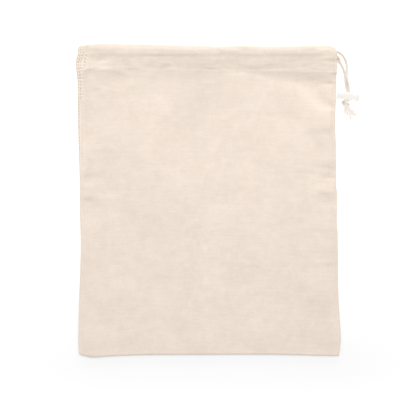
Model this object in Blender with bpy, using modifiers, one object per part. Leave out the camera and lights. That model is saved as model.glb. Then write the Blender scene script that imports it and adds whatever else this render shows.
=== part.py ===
"""Cotton drawstring bag, lying flat on its back with its cord stopper beside it.

The bag is one cut cloth: it is folded at the bottom, closed along both sides, and its mouth is hemmed
inwards. A drawcord runs in that hem, along the front and back along the back, and both its ends leave
at the right, pass through a sprung stopper and are tied in one knot.
Metres. +X is to the right, +Y towards the mouth, +Z up, and the surface it lies on is z = 0.
"""
import math

import bmesh
import bpy
from mathutils import Matrix, Vector

SHEET = 0.0010
GAP = 0.0003
CORD_DIAMETER = 0.0020
HEM_DEPTH = 0.024

# Outline of the bag: each edge as (place along it, where it lies).
LEFT_EDGE = (
    (-0.1500, -0.1222), (-0.1460, -0.1244), (-0.1350, -0.1250), (-0.1020, -0.1240), (-0.0500, -0.1225),
    (0.0300, -0.1236), (0.1000, -0.1244), (0.1220, -0.1258), (0.1340, -0.1270), (0.1410, -0.1262),
    (0.1500, -0.1222),
)
RIGHT_EDGE = (
    (-0.1500, 0.1246), (-0.1430, 0.1264), (-0.1340, 0.1272), (-0.1200, 0.1260), (-0.0800, 0.1241),
    (-0.0200, 0.1238), (0.0000, 0.1230), (0.0300, 0.1218), (0.0750, 0.1215), (0.1050, 0.1222),
    (0.1250, 0.1232), (0.1400, 0.1240), (0.1500, 0.1250),
)
TOP_EDGE = (
    (-0.1270, 0.1466), (-0.1210, 0.1482), (-0.1060, 0.1501), (-0.0860, 0.1505), (-0.0650, 0.1502),
    (-0.0200, 0.1480),
    (0.0600, 0.1470), (0.1120, 0.1468), (0.1200, 0.1459), (0.1250, 0.1446),
)
BOTTOM_EDGE = (
    (-0.1250, -0.1476), (-0.1190, -0.1497), (-0.1080, -0.1505), (-0.0700, -0.1496), (0.0000, -0.1487),
    (0.0600, -0.1489), (0.1000, -0.1495), (0.1260, -0.1495),
)

# Places across the cloth, in from the left edge and in from the right edge.
LEFT_COLUMNS = (0.0, 0.00055, 0.003, 0.007, 0.009, 0.011, 0.015, 0.0205, 0.026, 0.034, 0.046, 0.061,
                0.078, 0.096, 0.114)
RIGHT_COLUMNS = (0.114, 0.096, 0.078, 0.061, 0.046, 0.033, 0.023, 0.014, 0.007, 0.003, 0.00055, 0.0)
HEM_START = LEFT_COLUMNS.index(0.0205)

# Places down the cloth below the stitch line of the hem, and then up from the bottom fold.
BODY_ROWS = (0.004, 0.008, 0.013, 0.019, 0.025, 0.031, 0.038, 0.046, 0.056, 0.068, 0.079, 0.086, 0.092,
             0.098, 0.104, 0.111, 0.118, 0.126, 0.138, 0.152, 0.168, 0.185, 0.202, 0.212, 0.224, 0.237, 0.250)
BOTTOM_ROWS = (0.009, 0.003, 0.00055)

# How far below the mouth fold each run of the drawcord lies, along the bag.
FRONT_CORD_DEPTH = ((0.100, 0.0045), (0.124, 0.0026))
BACK_CORD_DEPTH = ((0.096, 0.0135), (0.124, 0.0078))

# Heights of the middle of each layer at the stations of the hem, from the mouth fold down.
CLOSED = SHEET + GAP / 2
FLAT = SHEET / 2
ONE_UP = FLAT + SHEET + GAP
TWO_UP = ONE_UP + SHEET + GAP
THREE_UP = TWO_UP + SHEET + GAP
CORD_CROWN = 0.0070
FRONT_FOLD = (TWO_UP + CORD_CROWN) / 2
HEM_STATIONS = (
    # name, back, back hem, front hem, front
    ("fold", CLOSED, CLOSED, FRONT_FOLD, FRONT_FOLD),
    ("curl", FLAT, ONE_UP, 0.00407, 0.00603),
    ("shoulder", FLAT, ONE_UP, 0.00336, 0.00674),
    ("front cord", FLAT, ONE_UP, TWO_UP, CORD_CROWN),
    ("between", FLAT, 0.0026, 0.0039, 0.0058),
    ("back cord", FLAT, 0.0044, 0.0057, CORD_CROWN),
    ("behind", FLAT, 0.0026, 0.0039, 0.0053),
    ("stitches", FLAT, ONE_UP, TWO_UP, THREE_UP),
)
FRONT_LOFT = ((0.024, THREE_UP), (0.030, 0.0038), (0.042, 0.0031), (0.060, 0.0028), (0.150, 0.0027),
              (0.250, 0.0025), (0.292, 0.0021))

# Main folds of the front: centre, direction in degrees, half length, half width, height.
FRONT_FOLDS = (
    # x, y, turn, reach, spread, rise
    (0.078, 0.1180, -4.0, 0.045, 0.0050, -0.0010),
    (0.023, 0.1215, -8.0, 0.018, 0.0035, 0.0006),
    (0.105, 0.0965, -31.0, 0.024, 0.0045, 0.0026),
    (0.112, 0.0610, 80.0, 0.012, 0.0090, -0.0008),
    (0.115, 0.0320, 0.0, 0.011, 0.0040, -0.0008),
    (0.114, 0.0200, 3.0, 0.013, 0.0045, 0.0018),
    (0.115, 0.0040, 0.0, 0.011, 0.0045, -0.0008),
    (-0.115, 0.0230, 0.0, 0.010, 0.0040, -0.0008),
    (-0.114, 0.0130, 4.0, 0.013, 0.0050, 0.0018),
    (-0.114, 0.0000, 0.0, 0.010, 0.0045, -0.0008),
    (-0.113, 0.1180, 14.0, 0.014, 0.0040, 0.0016),
    (-0.075, -0.0840, -38.0, 0.018, 0.0050, 0.0010),
)
RIPPLE = 0.00025
SIDE_RAMP = 0.010
STITCHED_MARGIN = 0.007
CHANNEL_RAMP = 0.004

# The cord's turn from the front run to the back run, inside the left side.
TURN_CENTRE = (-0.1075, 0.1411)
TURN_RADIUS = 0.0045
FRONT_CORD_HEIGHT = 0.0050
BACK_CORD_HEIGHT = 0.0023

# The stopper: where the cords cross it, how its axis is turned, and its own dimensions.
STOPPER_CROSSING = Vector((0.1335, 0.0999, 0.0043))
STOPPER_TURN = math.radians(-8.0)
BARREL_LENGTH = 0.0154
BARREL_RADIUS = 0.0042
BARREL_END = 0.0014
BORE_RADIUS = 0.0031
CROSSING_DEPTH = 0.0103
BUTTON_TRAVEL = 0.0022
STOPPER_LENGTH = 0.0222
STEM_RADIUS = BORE_RADIUS - GAP
CORD_PITCH = CORD_DIAMETER + GAP
SLOT_LENGTH = CORD_PITCH + CORD_DIAMETER + 2 * GAP
SLOT_WIDTH = CORD_DIAMETER + 2 * GAP
STEM_END_WALL = 0.0015
EDGE_ROUND = 0.0006

# Free stretches of the cord, from the bag to just above the stopper.
UPPER_STRAND = (
    (0.1240, 0.1422, 0.0049), (0.1276, 0.1411, 0.0043), (0.1309, 0.1385, 0.0032), (0.1332, 0.1345, 0.0020),
    (0.1341, 0.1297, 0.0013), (0.1339, 0.1245, 0.0012), (0.1335, 0.1197, 0.0014), (0.1339, 0.1150, 0.0021),
    (0.1347, 0.1096, 0.0032),
)
LOWER_STRAND = (
    (0.1243, 0.1370, 0.0023), (0.1270, 0.1329, 0.0017), (0.1296, 0.1285, 0.0013), (0.1309, 0.1235, 0.0012),
    (0.1312, 0.1188, 0.0014), (0.1316, 0.1146, 0.0021), (0.1324, 0.1096, 0.0032),
)
STRAND_STEP = 0.0042
CHANNEL_RUN = (-0.1040, 0.1160)
CHANNEL_SPACES = 19

# The knot and its tails.
KNOT_SIZE = Vector((0.0078, 0.0060, 0.0056))
KNOT_SETBACK = BARREL_RADIUS + 2 * GAP + KNOT_SIZE.y / 2
KNOT_TAILS = (
    # where each tail runs, from inside the knot to its end
    ((0.1328, 0.0915, 0.0026), (0.1352, 0.0886, 0.0019), (0.1385, 0.0846, 0.0016), (0.1421, 0.0812, 0.0015)),
    ((0.1326, 0.0915, 0.0028), (0.1336, 0.0878, 0.0018), (0.1352, 0.0828, 0.0014), (0.1369, 0.0779, 0.0013)),
    ((0.1316, 0.0915, 0.0028), (0.1313, 0.0885, 0.0019), (0.1321, 0.0832, 0.0014)),
)
TAIL_RADII = (0.0013, 0.0011, 0.0010)


def along(table, place):
    """Read a table of (place, value) rows on the smooth curve through them."""
    if place <= table[0][0]:
        return table[0][1]
    if place >= table[-1][0]:
        return table[-1][1]
    last = len(table) - 1
    row = next(index for index in range(last) if place <= table[index + 1][0])
    (start, low), (end, high) = table[row], table[row + 1]
    before = table[max(row - 1, 0)]
    after = table[min(row + 2, last)]
    slope_in = (high - before[1]) / (end - before[0])
    slope_out = (after[1] - low) / (after[0] - start)
    width = end - start
    share = (place - start) / width
    return (low * (1 + 2 * share) * (1 - share) ** 2 + high * share ** 2 * (3 - 2 * share)
            + width * share * (1 - share) * (slope_in * (1 - share) - slope_out * share))


def eased(share):
    """Turn 0 to 1 into a smooth step."""
    share = min(max(share, 0.0), 1.0)
    return share * share * (3 - 2 * share)


def rounded(distance, height):
    """Rise from 0 at an edge to 1 inside it, as the quarter of an ellipse does."""
    radius = max(CLOSED - FLAT, height)
    return math.sqrt(1 - (1 - min(distance / radius, 1.0)) ** 2)


def smooth_route(points, samples=12):
    """Many points on the smooth curve through a route's own points."""
    route = [Vector(point) for point in points]
    padded = [2 * route[0] - route[1]] + route + [2 * route[-1] - route[-2]]
    fine = []
    for index in range(1, len(padded) - 2):
        before, start, end, after = padded[index - 1:index + 3]
        for sample in range(samples):
            t = sample / samples
            fine.append(0.5 * (2 * start + (end - before) * t
                               + (2 * before - 5 * start + 4 * end - after) * t ** 2
                               + (3 * start - before - 3 * end + after) * t ** 3))
    fine.append(route[-1])
    return fine


def depth_stations(x):
    """Depths below the mouth fold of the hem's stations, at one place across the bag."""
    front_cord = along(FRONT_CORD_DEPTH, x)
    back_cord = along(BACK_CORD_DEPTH, x)
    reach = front_cord - FLAT
    return (
        FLAT,
        front_cord - reach * math.cos(math.radians(30)),
        front_cord - reach * math.cos(math.radians(60)),
        front_cord,
        (front_cord + back_cord) / 2,
        back_cord,
        back_cord + 0.0055,
        HEM_DEPTH,
    )


def front_height(x, y, depth, left, right):
    """Height of the front below the hem: its loft, its main folds and a slight ripple."""
    height = along(FRONT_LOFT, depth)
    for fold_x, fold_y, turn, reach, spread, rise in FRONT_FOLDS:
        direction = math.radians(turn)
        forward = (x - fold_x) * math.cos(direction) + (y - fold_y) * math.sin(direction)
        across = (y - fold_y) * math.cos(direction) - (x - fold_x) * math.sin(direction)
        height += rise * math.exp(-(forward / reach) ** 2 - (across / spread) ** 2)
    height += RIPPLE * (math.sin(61 * x + 43 * y) + math.sin(97 * y - 38 * x + 1.3))
    ramp = eased(min(left, right) / SIDE_RAMP) if depth > HEM_DEPTH else 1.0
    return max(ONE_UP, ONE_UP + (height - ONE_UP) * (0.25 + 0.75 * ramp))


def cloth_rows():
    """The strip's rows from the back hem's raw edge, round the bottom, to the front hem's raw edge."""
    hem = range(len(HEM_STATIONS) - 1, 0, -1)
    outside = ([("hem", station) for station in range(len(HEM_STATIONS))]
               + [("body", drop) for drop in BODY_ROWS]
               + [("bottom", rise) for rise in BOTTOM_ROWS])
    return ([("back hem", station) for station in hem]
            + [("back", place) for place in outside]
            + [("bottom", None)]
            + [("front", place) for place in reversed(outside)]
            + [("front hem", station) for station in reversed(hem)])


def edge_distance(column, y):
    """Where a column lies across the bag, and how far it is in from each side."""
    left_edge = along(LEFT_EDGE, y) + FLAT
    right_edge = along(RIGHT_EDGE, y) - FLAT
    if column < len(LEFT_COLUMNS):
        x = left_edge + LEFT_COLUMNS[column]
    else:
        x = right_edge - RIGHT_COLUMNS[column - len(LEFT_COLUMNS)]
    return x, x - left_edge, right_edge - x


def cloth_point(column, layer, place):
    """One point of the middle surface of the cloth."""
    guess = edge_distance(column, 0.0)[0]
    top = along(TOP_EDGE, guess)
    bottom = along(BOTTOM_EDGE, guess) + FLAT
    on_hem = layer.endswith("hem") or (place is not None and place[0] == "hem")
    if layer == "bottom":
        y = bottom
    elif on_hem:
        station = place if layer.endswith("hem") else place[1]
        y = top - depth_stations(guess)[station]
    elif place[0] == "body":
        y = top - HEM_DEPTH - place[1]
    else:
        y = bottom + place[1]
    x, left, right = edge_distance(column, y)
    if layer == "bottom":
        return Vector((x, y, CLOSED))
    depth = top - y
    if layer.endswith("hem"):
        return Vector((x, y, HEM_STATIONS[station][2 if layer == "back hem" else 3]))
    closed_corner = column < HEM_START
    if on_hem:
        back, front = HEM_STATIONS[station][1], HEM_STATIONS[station][4]
        if closed_corner and station < 3:
            back, front = FLAT, CORD_CROWN
        ramp = eased((left - STITCHED_MARGIN) / CHANNEL_RAMP)
        front = ONE_UP + (front - ONE_UP) * ramp
    else:
        back, front = FLAT, front_height(x, y, depth, left, right)
    closing = rounded(left, CLOSED - FLAT)
    if not on_hem:
        closing *= rounded(right, CLOSED - FLAT) * rounded(y - bottom, CLOSED - FLAT)
    if closed_corner and on_hem:
        closing *= rounded(depth - FLAT, front - CLOSED)
    height = back if layer == "back" else front
    return Vector((x, y, CLOSED + (height - CLOSED) * closing))


def material(name, colour, roughness):
    """A plain surface of one colour."""
    made = bpy.data.materials.new(name)
    made.use_nodes = True
    shader = made.node_tree.nodes["Principled BSDF"]
    shader.inputs["Base Color"].default_value = (*colour, 1.0)
    shader.inputs["Roughness"].default_value = roughness
    shader.inputs["Metallic"].default_value = 0.0
    return made


def add_object(name, data, collection, look=None):
    """Put a mesh or curve in the scene under the name of its piece."""
    made = bpy.data.objects.new(name, data)
    collection.objects.link(made)
    if look:
        data.materials.append(look)
    return made


def build_cloth(collection, look):
    """The bag's cloth: one folded strip, closed along its sides, then thickened."""
    rows = cloth_rows()
    columns = len(LEFT_COLUMNS) + len(RIGHT_COLUMNS) - 1
    mesh = bpy.data.meshes.new("bag_cloth")
    cage = bmesh.new()
    bmesh.ops.create_grid(cage, x_segments=columns, y_segments=len(rows) - 1, size=0.5)
    spots = {}
    for vertex in cage.verts:
        column = round((vertex.co.x + 0.5) * columns)
        row = round((vertex.co.y + 0.5) * (len(rows) - 1))
        spots[vertex] = (column, row)
        vertex.co = cloth_point(column, *rows[row])
    hems = {row for row, (layer, place) in enumerate(rows) if layer.endswith("hem")}
    notch = [face for face in cage.faces
             if any(spots[vertex][1] in hems for vertex in face.verts)
             and min(spots[vertex][0] for vertex in face.verts) < HEM_START]
    bmesh.ops.delete(cage, geom=notch, context="FACES")
    bmesh.ops.remove_doubles(cage, verts=cage.verts, dist=0.00002)
    bmesh.ops.recalc_face_normals(cage, faces=cage.faces)
    cage.to_mesh(mesh)
    cage.free()
    bag = add_object("bag_cloth", mesh, collection, look)
    thickness = bag.modifiers.new("cloth", "SOLIDIFY")
    thickness.thickness = SHEET
    thickness.offset = 0.0
    thickness.use_even_offset = False
    return bag


def strand_ends(side):
    """Where a strand passes through the stopper and ends above the knot; side is +1 or -1."""
    axis = Vector((math.cos(STOPPER_TURN), math.sin(STOPPER_TURN), 0))
    across = Vector((axis.y, -axis.x, 0))
    middle = STOPPER_CROSSING + side * CORD_PITCH / 2 * axis
    entry = middle - across * (BARREL_RADIUS + 2 * GAP)
    end = middle + across * (BARREL_RADIUS + GAP / 2)
    return entry, middle, end


def cord_route():
    """The drawcord's own points, from the knot, round the bag's mouth and back to the knot."""
    start, end = CHANNEL_RUN
    columns = [start + (end - start) * index / CHANNEL_SPACES for index in range(CHANNEL_SPACES + 1)]
    front = [(x, along(TOP_EDGE, x) - along(FRONT_CORD_DEPTH, x), FRONT_CORD_HEIGHT) for x in columns]
    back = [(x, along(TOP_EDGE, x) - along(BACK_CORD_DEPTH, x), BACK_CORD_HEIGHT) for x in columns]
    turn = []
    for eighth in range(1, 8):
        angle = math.pi / 2 + math.pi * eighth / 8
        drop = eased(eighth / 8)
        turn.append((TURN_CENTRE[0] + TURN_RADIUS * math.cos(angle),
                     TURN_CENTRE[1] + TURN_RADIUS * math.sin(angle),
                     FRONT_CORD_HEIGHT + (BACK_CORD_HEIGHT - FRONT_CORD_HEIGHT) * drop))
    upper = list(UPPER_STRAND) + list(strand_ends(1))
    lower = list(LOWER_STRAND) + list(strand_ends(-1))
    return upper[::-1] + front[::-1] + turn + back + lower


def spaced(fine):
    """Every few millimetres of a fine line: close where the cord bends, wider where it runs straight."""
    kept = [fine[0]]
    travelled = 0.0
    start, end = CHANNEL_RUN
    for before, point in zip(fine, fine[1:]):
        travelled += (point - before).length
        step = (end - start) / CHANNEL_SPACES if start < point.x < end else STRAND_STEP
        if travelled >= step:
            kept.append(point)
            travelled = 0.0
    kept[-1] = fine[-1]
    return kept


def tube(name, points, radius, collection, look=None):
    """A cord as a round tube along its points."""
    curve = bpy.data.curves.new(name, "CURVE")
    curve.dimensions = "3D"
    curve.bevel_depth = radius
    curve.bevel_resolution = 2
    curve.use_fill_caps = True
    spline = curve.splines.new("POLY")
    spline.points.add(len(points) - 1)
    for spot, point in zip(spline.points, points):
        spot.co = (*point, 1.0)
    return add_object(name, curve, collection, look)


def solid_from(curve_object, collection):
    """The closed mesh of a tube, with its caps welded on."""
    graph = bpy.context.evaluated_depsgraph_get()
    mesh = bpy.data.meshes.new_from_object(curve_object.evaluated_get(graph))
    cage = bmesh.new()
    cage.from_mesh(mesh)
    bmesh.ops.remove_doubles(cage, verts=cage.verts, dist=0.00001)
    cage.to_mesh(mesh)
    cage.free()
    made = add_object(curve_object.name + "_solid", mesh, collection)
    made.matrix_world = curve_object.matrix_world
    bpy.data.objects.remove(curve_object)
    return made


def hide_cutter(cutter):
    """A cutter or a joined piece is a guide, and isn't part of the bag."""
    cutter.hide_render = True
    cutter.display_type = "WIRE"


def boolean(target, other, operation):
    """Cut or join one solid with another."""
    step = target.modifiers.new(other.name, "BOOLEAN")
    step.operation = operation
    step.solver = "EXACT"
    step.object = other


def build_knot(collection, guides, look):
    """The overhand knot: a round body, the turn that crosses it, and its tails."""
    across = Vector((math.sin(STOPPER_TURN), -math.cos(STOPPER_TURN), 0))
    centre = STOPPER_CROSSING + across * KNOT_SETBACK
    centre.z = KNOT_SIZE.z / 2 + GAP
    mesh = bpy.data.meshes.new("cord_knot")
    body = bmesh.new()
    bmesh.ops.create_icosphere(body, subdivisions=3, radius=0.5)
    bmesh.ops.scale(body, vec=KNOT_SIZE, verts=body.verts)
    bmesh.ops.rotate(body, matrix=Matrix.Rotation(math.radians(-20), 3, "Z"), verts=body.verts)
    bmesh.ops.translate(body, vec=centre, verts=body.verts)
    body.to_mesh(mesh)
    body.free()
    knot = add_object("cord_knot", mesh, collection, look)
    for index, (tail, radius) in enumerate(zip(KNOT_TAILS, TAIL_RADII)):
        piece = solid_from(tube(f"tail_{index}", smooth_route(tail, 4), radius, guides), guides)
        hide_cutter(piece)
        boolean(knot, piece, "UNION")
    knot.data.shade_smooth()
    return knot


def turned(name, profile, parent, collection, look):
    """A round piece turned from its profile of (radius, distance along the axis) points."""
    mesh = bpy.data.meshes.new(name)
    mesh.from_pydata([(radius, 0.0, place) for radius, place in profile],
                     [(index, index + 1) for index in range(len(profile) - 1)], [])
    piece = add_object(name, mesh, collection, look)
    piece.parent = parent
    spin = piece.modifiers.new("turned", "SCREW")
    spin.steps = 28
    spin.render_steps = 28
    spin.use_merge_vertices = True
    spin.merge_threshold = 0.00001
    spin.use_smooth_shade = True
    return piece


def slot_cutter(name, start, end, parent, guides):
    """A cutter for a cord slot, from start to end along the stopper's axis."""
    mesh = bpy.data.meshes.new(name)
    block = bmesh.new()
    bmesh.ops.create_cube(block, size=1.0)
    bmesh.ops.scale(block, vec=(SLOT_WIDTH, 4 * BARREL_RADIUS, end - start), verts=block.verts)
    bmesh.ops.translate(block, vec=(0, 0, (start + end) / 2), verts=block.verts)
    ends = [edge for edge in block.edges if abs(edge.verts[0].co.y - edge.verts[1].co.y) > BARREL_RADIUS]
    bmesh.ops.bevel(block, geom=ends, offset=SLOT_WIDTH * 0.4, segments=4, profile=0.5, affect="EDGES")
    block.to_mesh(mesh)
    block.free()
    cutter = add_object(name, mesh, guides)
    cutter.parent = parent
    hide_cutter(cutter)
    return cutter


def build_stopper(collection, guides, barrel_look, button_look):
    """The sprung cord stopper: a barrel closed at one end, and the button that slides in it."""
    axis = Vector((math.cos(STOPPER_TURN), math.sin(STOPPER_TURN), 0))
    up = Vector((0, 0, 1))
    frame = Matrix((up, axis.cross(up), axis)).transposed().to_4x4()
    stopper = bpy.data.objects.new("stopper", None)
    collection.objects.link(stopper)
    stopper.matrix_world = Matrix.Translation(STOPPER_CROSSING - CROSSING_DEPTH * axis) @ frame

    barrel = turned("stopper_barrel", (
        (0.0, BARREL_END), (BORE_RADIUS, BARREL_END), (BORE_RADIUS, BARREL_LENGTH),
        (BARREL_RADIUS - EDGE_ROUND / 2, BARREL_LENGTH), (BARREL_RADIUS, BARREL_LENGTH - EDGE_ROUND / 2),
        (BARREL_RADIUS, 2 * EDGE_ROUND), (BARREL_RADIUS - EDGE_ROUND / 2, EDGE_ROUND / 2),
        (BARREL_RADIUS - 1.5 * EDGE_ROUND, 0.0), (0.0, 0.0),
    ), stopper, collection, barrel_look)
    slot_start = CROSSING_DEPTH - SLOT_LENGTH / 2
    slot_end = CROSSING_DEPTH + SLOT_LENGTH / 2
    boolean(barrel, slot_cutter("barrel_slot", slot_start, slot_end, stopper, guides), "DIFFERENCE")

    head_start = BARREL_LENGTH + BUTTON_TRAVEL + GAP
    stem_start = slot_start - STEM_END_WALL
    button = turned("stopper_button", (
        (0.0, STOPPER_LENGTH), (0.55 * BARREL_RADIUS, STOPPER_LENGTH - 0.0002),
        (0.85 * BARREL_RADIUS, STOPPER_LENGTH - 0.0008), (BARREL_RADIUS, STOPPER_LENGTH - 0.0020),
        (BARREL_RADIUS, head_start + EDGE_ROUND), (BARREL_RADIUS - EDGE_ROUND, head_start),
        (STEM_RADIUS, head_start), (STEM_RADIUS, stem_start + EDGE_ROUND / 2),
        (STEM_RADIUS - EDGE_ROUND / 2, stem_start), (0.0, stem_start),
    ), stopper, collection, button_look)
    window_end = slot_end + BUTTON_TRAVEL
    boolean(button, slot_cutter("button_window", slot_start, window_end, stopper, guides), "DIFFERENCE")


def main():
    for thing in list(bpy.data.objects):
        bpy.data.objects.remove(thing)
    bag = bpy.data.collections.new("drawstring_bag")
    guides = bpy.data.collections.new("cutters")
    for collection in (bag, guides):
        bpy.context.scene.collection.children.link(collection)
    calico = material("calico", (0.83, 0.76, 0.68), 0.9)
    cord_cotton = material("cord_cotton", (0.86, 0.80, 0.73), 0.9)
    barrel_plastic = material("barrel_plastic", (0.90, 0.90, 0.88), 0.4)
    button_plastic = material("button_plastic", (0.90, 0.90, 0.88), 0.4)

    build_cloth(bag, calico)
    tube("drawcord", spaced(smooth_route(cord_route())), CORD_DIAMETER / 2, bag, cord_cotton)
    build_knot(bag, guides, cord_cotton)
    build_stopper(bag, guides, barrel_plastic, button_plastic)


main()
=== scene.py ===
# %% [markdown]
# # A cotton drawstring bag
#
# This lesson makes the looks of a flat bag of natural calico. It is one cut cloth: folded at the bottom,
# closed along both sides, and hemmed at the mouth. A twisted cotton cord runs in the hem, comes out at
# the right, passes through a white cord stopper and ends in a knot.
# The part's exact solids are already packed, so the first step loads them. Every new piece is made in
# metres, in the same place as the solid that it stands for; the long tables are written in millimetres.

# %% Load the frame
import math
import random

import bmesh
import bpy
import numpy as np
from mathutils import Matrix, Vector, noise


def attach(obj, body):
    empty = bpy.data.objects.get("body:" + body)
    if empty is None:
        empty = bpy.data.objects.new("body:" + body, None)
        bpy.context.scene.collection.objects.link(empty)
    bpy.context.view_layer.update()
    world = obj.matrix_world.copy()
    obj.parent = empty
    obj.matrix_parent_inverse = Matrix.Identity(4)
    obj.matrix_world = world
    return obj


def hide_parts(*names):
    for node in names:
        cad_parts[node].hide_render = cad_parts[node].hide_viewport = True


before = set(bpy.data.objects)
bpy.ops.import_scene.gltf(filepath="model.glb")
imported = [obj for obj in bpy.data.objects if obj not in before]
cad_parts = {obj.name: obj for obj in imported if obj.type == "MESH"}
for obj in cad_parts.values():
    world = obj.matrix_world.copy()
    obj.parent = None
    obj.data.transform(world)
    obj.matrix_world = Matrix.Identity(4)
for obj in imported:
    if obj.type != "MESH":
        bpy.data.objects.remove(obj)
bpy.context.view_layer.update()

# %% [markdown]
# ## The camera
# The bag lies on a table and is looked at from straight above, as for a catalogue. A long lens far away
# would do, and so would an orthographic camera. An 85 mm lens about a metre up is the real thing: it
# keeps the edges parallel and still shows a little of how thick the roll at the mouth is.

# %% Look straight down
VIEW_WIDTH = 0.400
VIEW_CENTRE = Vector((0.0, -0.0072, 0.0))
LENS = 85.0
SENSOR = 36.0
scene = bpy.context.scene
lens = bpy.data.cameras.new("camera")
lens.lens = LENS
lens.sensor_width = SENSOR
camera = bpy.data.objects.new("camera", lens)
scene.collection.objects.link(camera)
camera.location = VIEW_CENTRE + Vector((0.0, 0.0, VIEW_WIDTH * LENS / SENSOR))
scene.camera = camera
scene.view_settings.view_transform = "Standard"
print("camera height in m:", round(camera.location.z, 3))

# %% [markdown]
# ## Small tools for the finishes
# Every finish is a pattern of shader nodes. These functions make one node and feed its inputs, and then
# the noise, the ramps and the bumps that all the finishes share.

# %% Node helpers
def feed(socket, value):
    """Give a socket another node's output, or a plain value."""
    if isinstance(value, bpy.types.NodeSocket):
        socket.id_data.links.new(value, socket)
    else:
        socket.default_value = value


def node(tree, kind, *values, **settings):
    """One node; the values feed its inputs in turn, and a setting is a property or a named input."""
    made = tree.nodes.new("ShaderNode" + kind)
    for name, value in settings.items():
        if hasattr(made, name):
            setattr(made, name, value)
        else:
            feed(made.inputs[name.replace("_", " ")], value)
    for socket, value in zip(made.inputs, values):
        feed(socket, value)
    return made


def new_material(name, **settings):
    """A material, its tree and its shader; a setting is the value of the shader's socket."""
    made = bpy.data.materials.new(name)
    made.use_nodes = True
    shader = made.node_tree.nodes["Principled BSDF"]
    for socket, value in settings.items():
        shader.inputs[socket.replace("_", " ")].default_value = value
    return made, made.node_tree, shader


def object_place(tree):
    """Coordinates that stay with the piece, in metres."""
    return node(tree, "TexCoord").outputs["Object"]


def maths(operation, *values):
    """A Math node whose inputs are sockets or plain numbers; gives its output."""
    tree = next(value.id_data for value in values if isinstance(value, bpy.types.NodeSocket))
    return node(tree, "Math", *values, operation=operation).outputs[0]


def ramp(socket, *stops):
    """A colour ramp on a socket, between two stops of (place, colour)."""
    made = node(socket.id_data, "ValToRGB", socket)
    for element, (place, colour) in zip(made.color_ramp.elements, stops):
        element.position = place
        element.color = (*colour, 1.0)
    return made.outputs["Color"]


def noise_at(vector, scale, detail=2.0, roughness=0.5):
    """A noise pattern on some coordinates; gives its value."""
    made = node(vector.id_data, "TexNoise", Vector=vector, Scale=scale, Detail=detail, Roughness=roughness)
    return made.outputs["Fac"]


def streaks(source, scales, detail=2.0, roughness=0.5):
    """A noise pattern that runs one way, because its coordinates are scaled unevenly."""
    mapped = node(source.id_data, "Mapping", Vector=source, Scale=scales)
    return noise_at(mapped.outputs["Vector"], 1.0, detail, roughness)


def mixed_colour(share, one, other):
    """Blend two colours by a share between 0 and 1."""
    made = node(share.id_data, "Mix", share, data_type="RGBA")
    for socket, value in zip(made.inputs[6:8], (one, other)):
        feed(socket, (*value, 1.0) if isinstance(value, tuple) else value)
    return made.outputs[2]


def bump(height, distance, strength, under=None):
    """A bump from a height socket; another bump may lie under it."""
    made = node(height.id_data, "Bump", Height=height, Distance=distance, Strength=strength)
    if under is not None:
        feed(made.inputs["Normal"], under)
    return made.outputs["Normal"]


def choose_only(thing):
    """Select one object alone, and make it the active one."""
    bpy.ops.object.select_all(action="DESELECT")
    thing.select_set(True)
    bpy.context.view_layer.objects.active = thing


print("helpers:", feed.__name__, node.__name__, maths.__name__, ramp.__name__, bump.__name__)

# %% [markdown]
# ## The table and the light
# The table is plain white card. The light is a bright sky all round, and one wide soft lamp beyond the
# mouth of the bag, so that creases that run across the bag show and the cloth stays soft. A long, low
# strip in the same direction draws the slight shadow under the bottom edge. The card glows, so it burns out
# to white everywhere but in one soft oval beside the bottom of the bag, where its weaker glow is a painted
# shadow. The oval's middle is a short level line, and the glow grows with the distance from it.

# %% A white table
TABLE_SIZE = 6.0
# painted shadow: the card glows less in one soft oval beside the bottom of the bag
PAINTED_SHADOW_GLOW = 0.012
FAR_GLOW = 0.42
PAINTED_SHADOW_MIDDLE = (0.012, -0.153, 0.0)
PAINTED_SHADOW_CORE = (0.095, 0.0, 0.0)
PAINTED_SHADOW_SQUEEZE = (0.38, 1.0, 0.0)
PAINTED_SHADOW_REACH = (0.0, 0.185)
NOTHING = (0.0, 0.0, 0.0)
bpy.ops.mesh.primitive_plane_add(size=TABLE_SIZE, location=NOTHING)
table = bpy.context.object
table.name = "table"
card, card_tree, card_shader = new_material(
    "white_card", Base_Color=(0.97, 0.97, 0.97, 1.0), Roughness=0.9, Specular_IOR_Level=0.1,
    Emission_Color=(1.0, 1.0, 1.0, 1.0))
table.data.materials.append(card)
apart = object_place(card_tree)
for operation, value in (("SUBTRACT", PAINTED_SHADOW_MIDDLE), ("ABSOLUTE", NOTHING), ("SUBTRACT", PAINTED_SHADOW_CORE),
                         ("MAXIMUM", NOTHING), ("MULTIPLY", PAINTED_SHADOW_SQUEEZE), ("LENGTH", NOTHING)):
    step = node(card_tree, "VectorMath", apart, value, operation=operation)
    apart = step.outputs["Value" if operation == "LENGTH" else "Vector"]
# the glow grows from the painted shadow oval out to the burnt-out white
glow = node(card_tree, "MapRange", apart, *PAINTED_SHADOW_REACH, PAINTED_SHADOW_GLOW, FAR_GLOW, interpolation_type="SMOOTHSTEP")
feed(card_shader.inputs["Emission Strength"], glow.outputs[0])
print("table:", TABLE_SIZE, "m")

# %% A bright sky, a soft lamp and a low strip
SKY = 0.74
LAMPS = (
    # name, place, width and height in metres, and power in watts; each looks at the middle of the bag
    ("soft_lamp", (-0.15, 2.00, 1.70), 2.4, 1.6, 31.0),
    ("low_strip", (-0.05, 1.60, 0.20), 1.6, 0.12, 10.0),
)
for name, place, width, height, power in LAMPS:
    light = bpy.data.lights.new(name, "AREA")
    light.shape = "RECTANGLE"
    light.size, light.size_y = width, height
    light.energy = power
    lamp = bpy.data.objects.new(name, light)
    scene.collection.objects.link(lamp)
    lamp.location = place
    lamp.rotation_euler = (-Vector(place)).to_track_quat("-Z", "Y").to_euler()
world = bpy.data.worlds.new("sky")
world.use_nodes = True
world.node_tree.nodes["Background"].inputs["Color"].default_value = (1.0, 1.0, 1.0, 1.0)
world.node_tree.nodes["Background"].inputs["Strength"].default_value = SKY
scene.world = world

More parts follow.
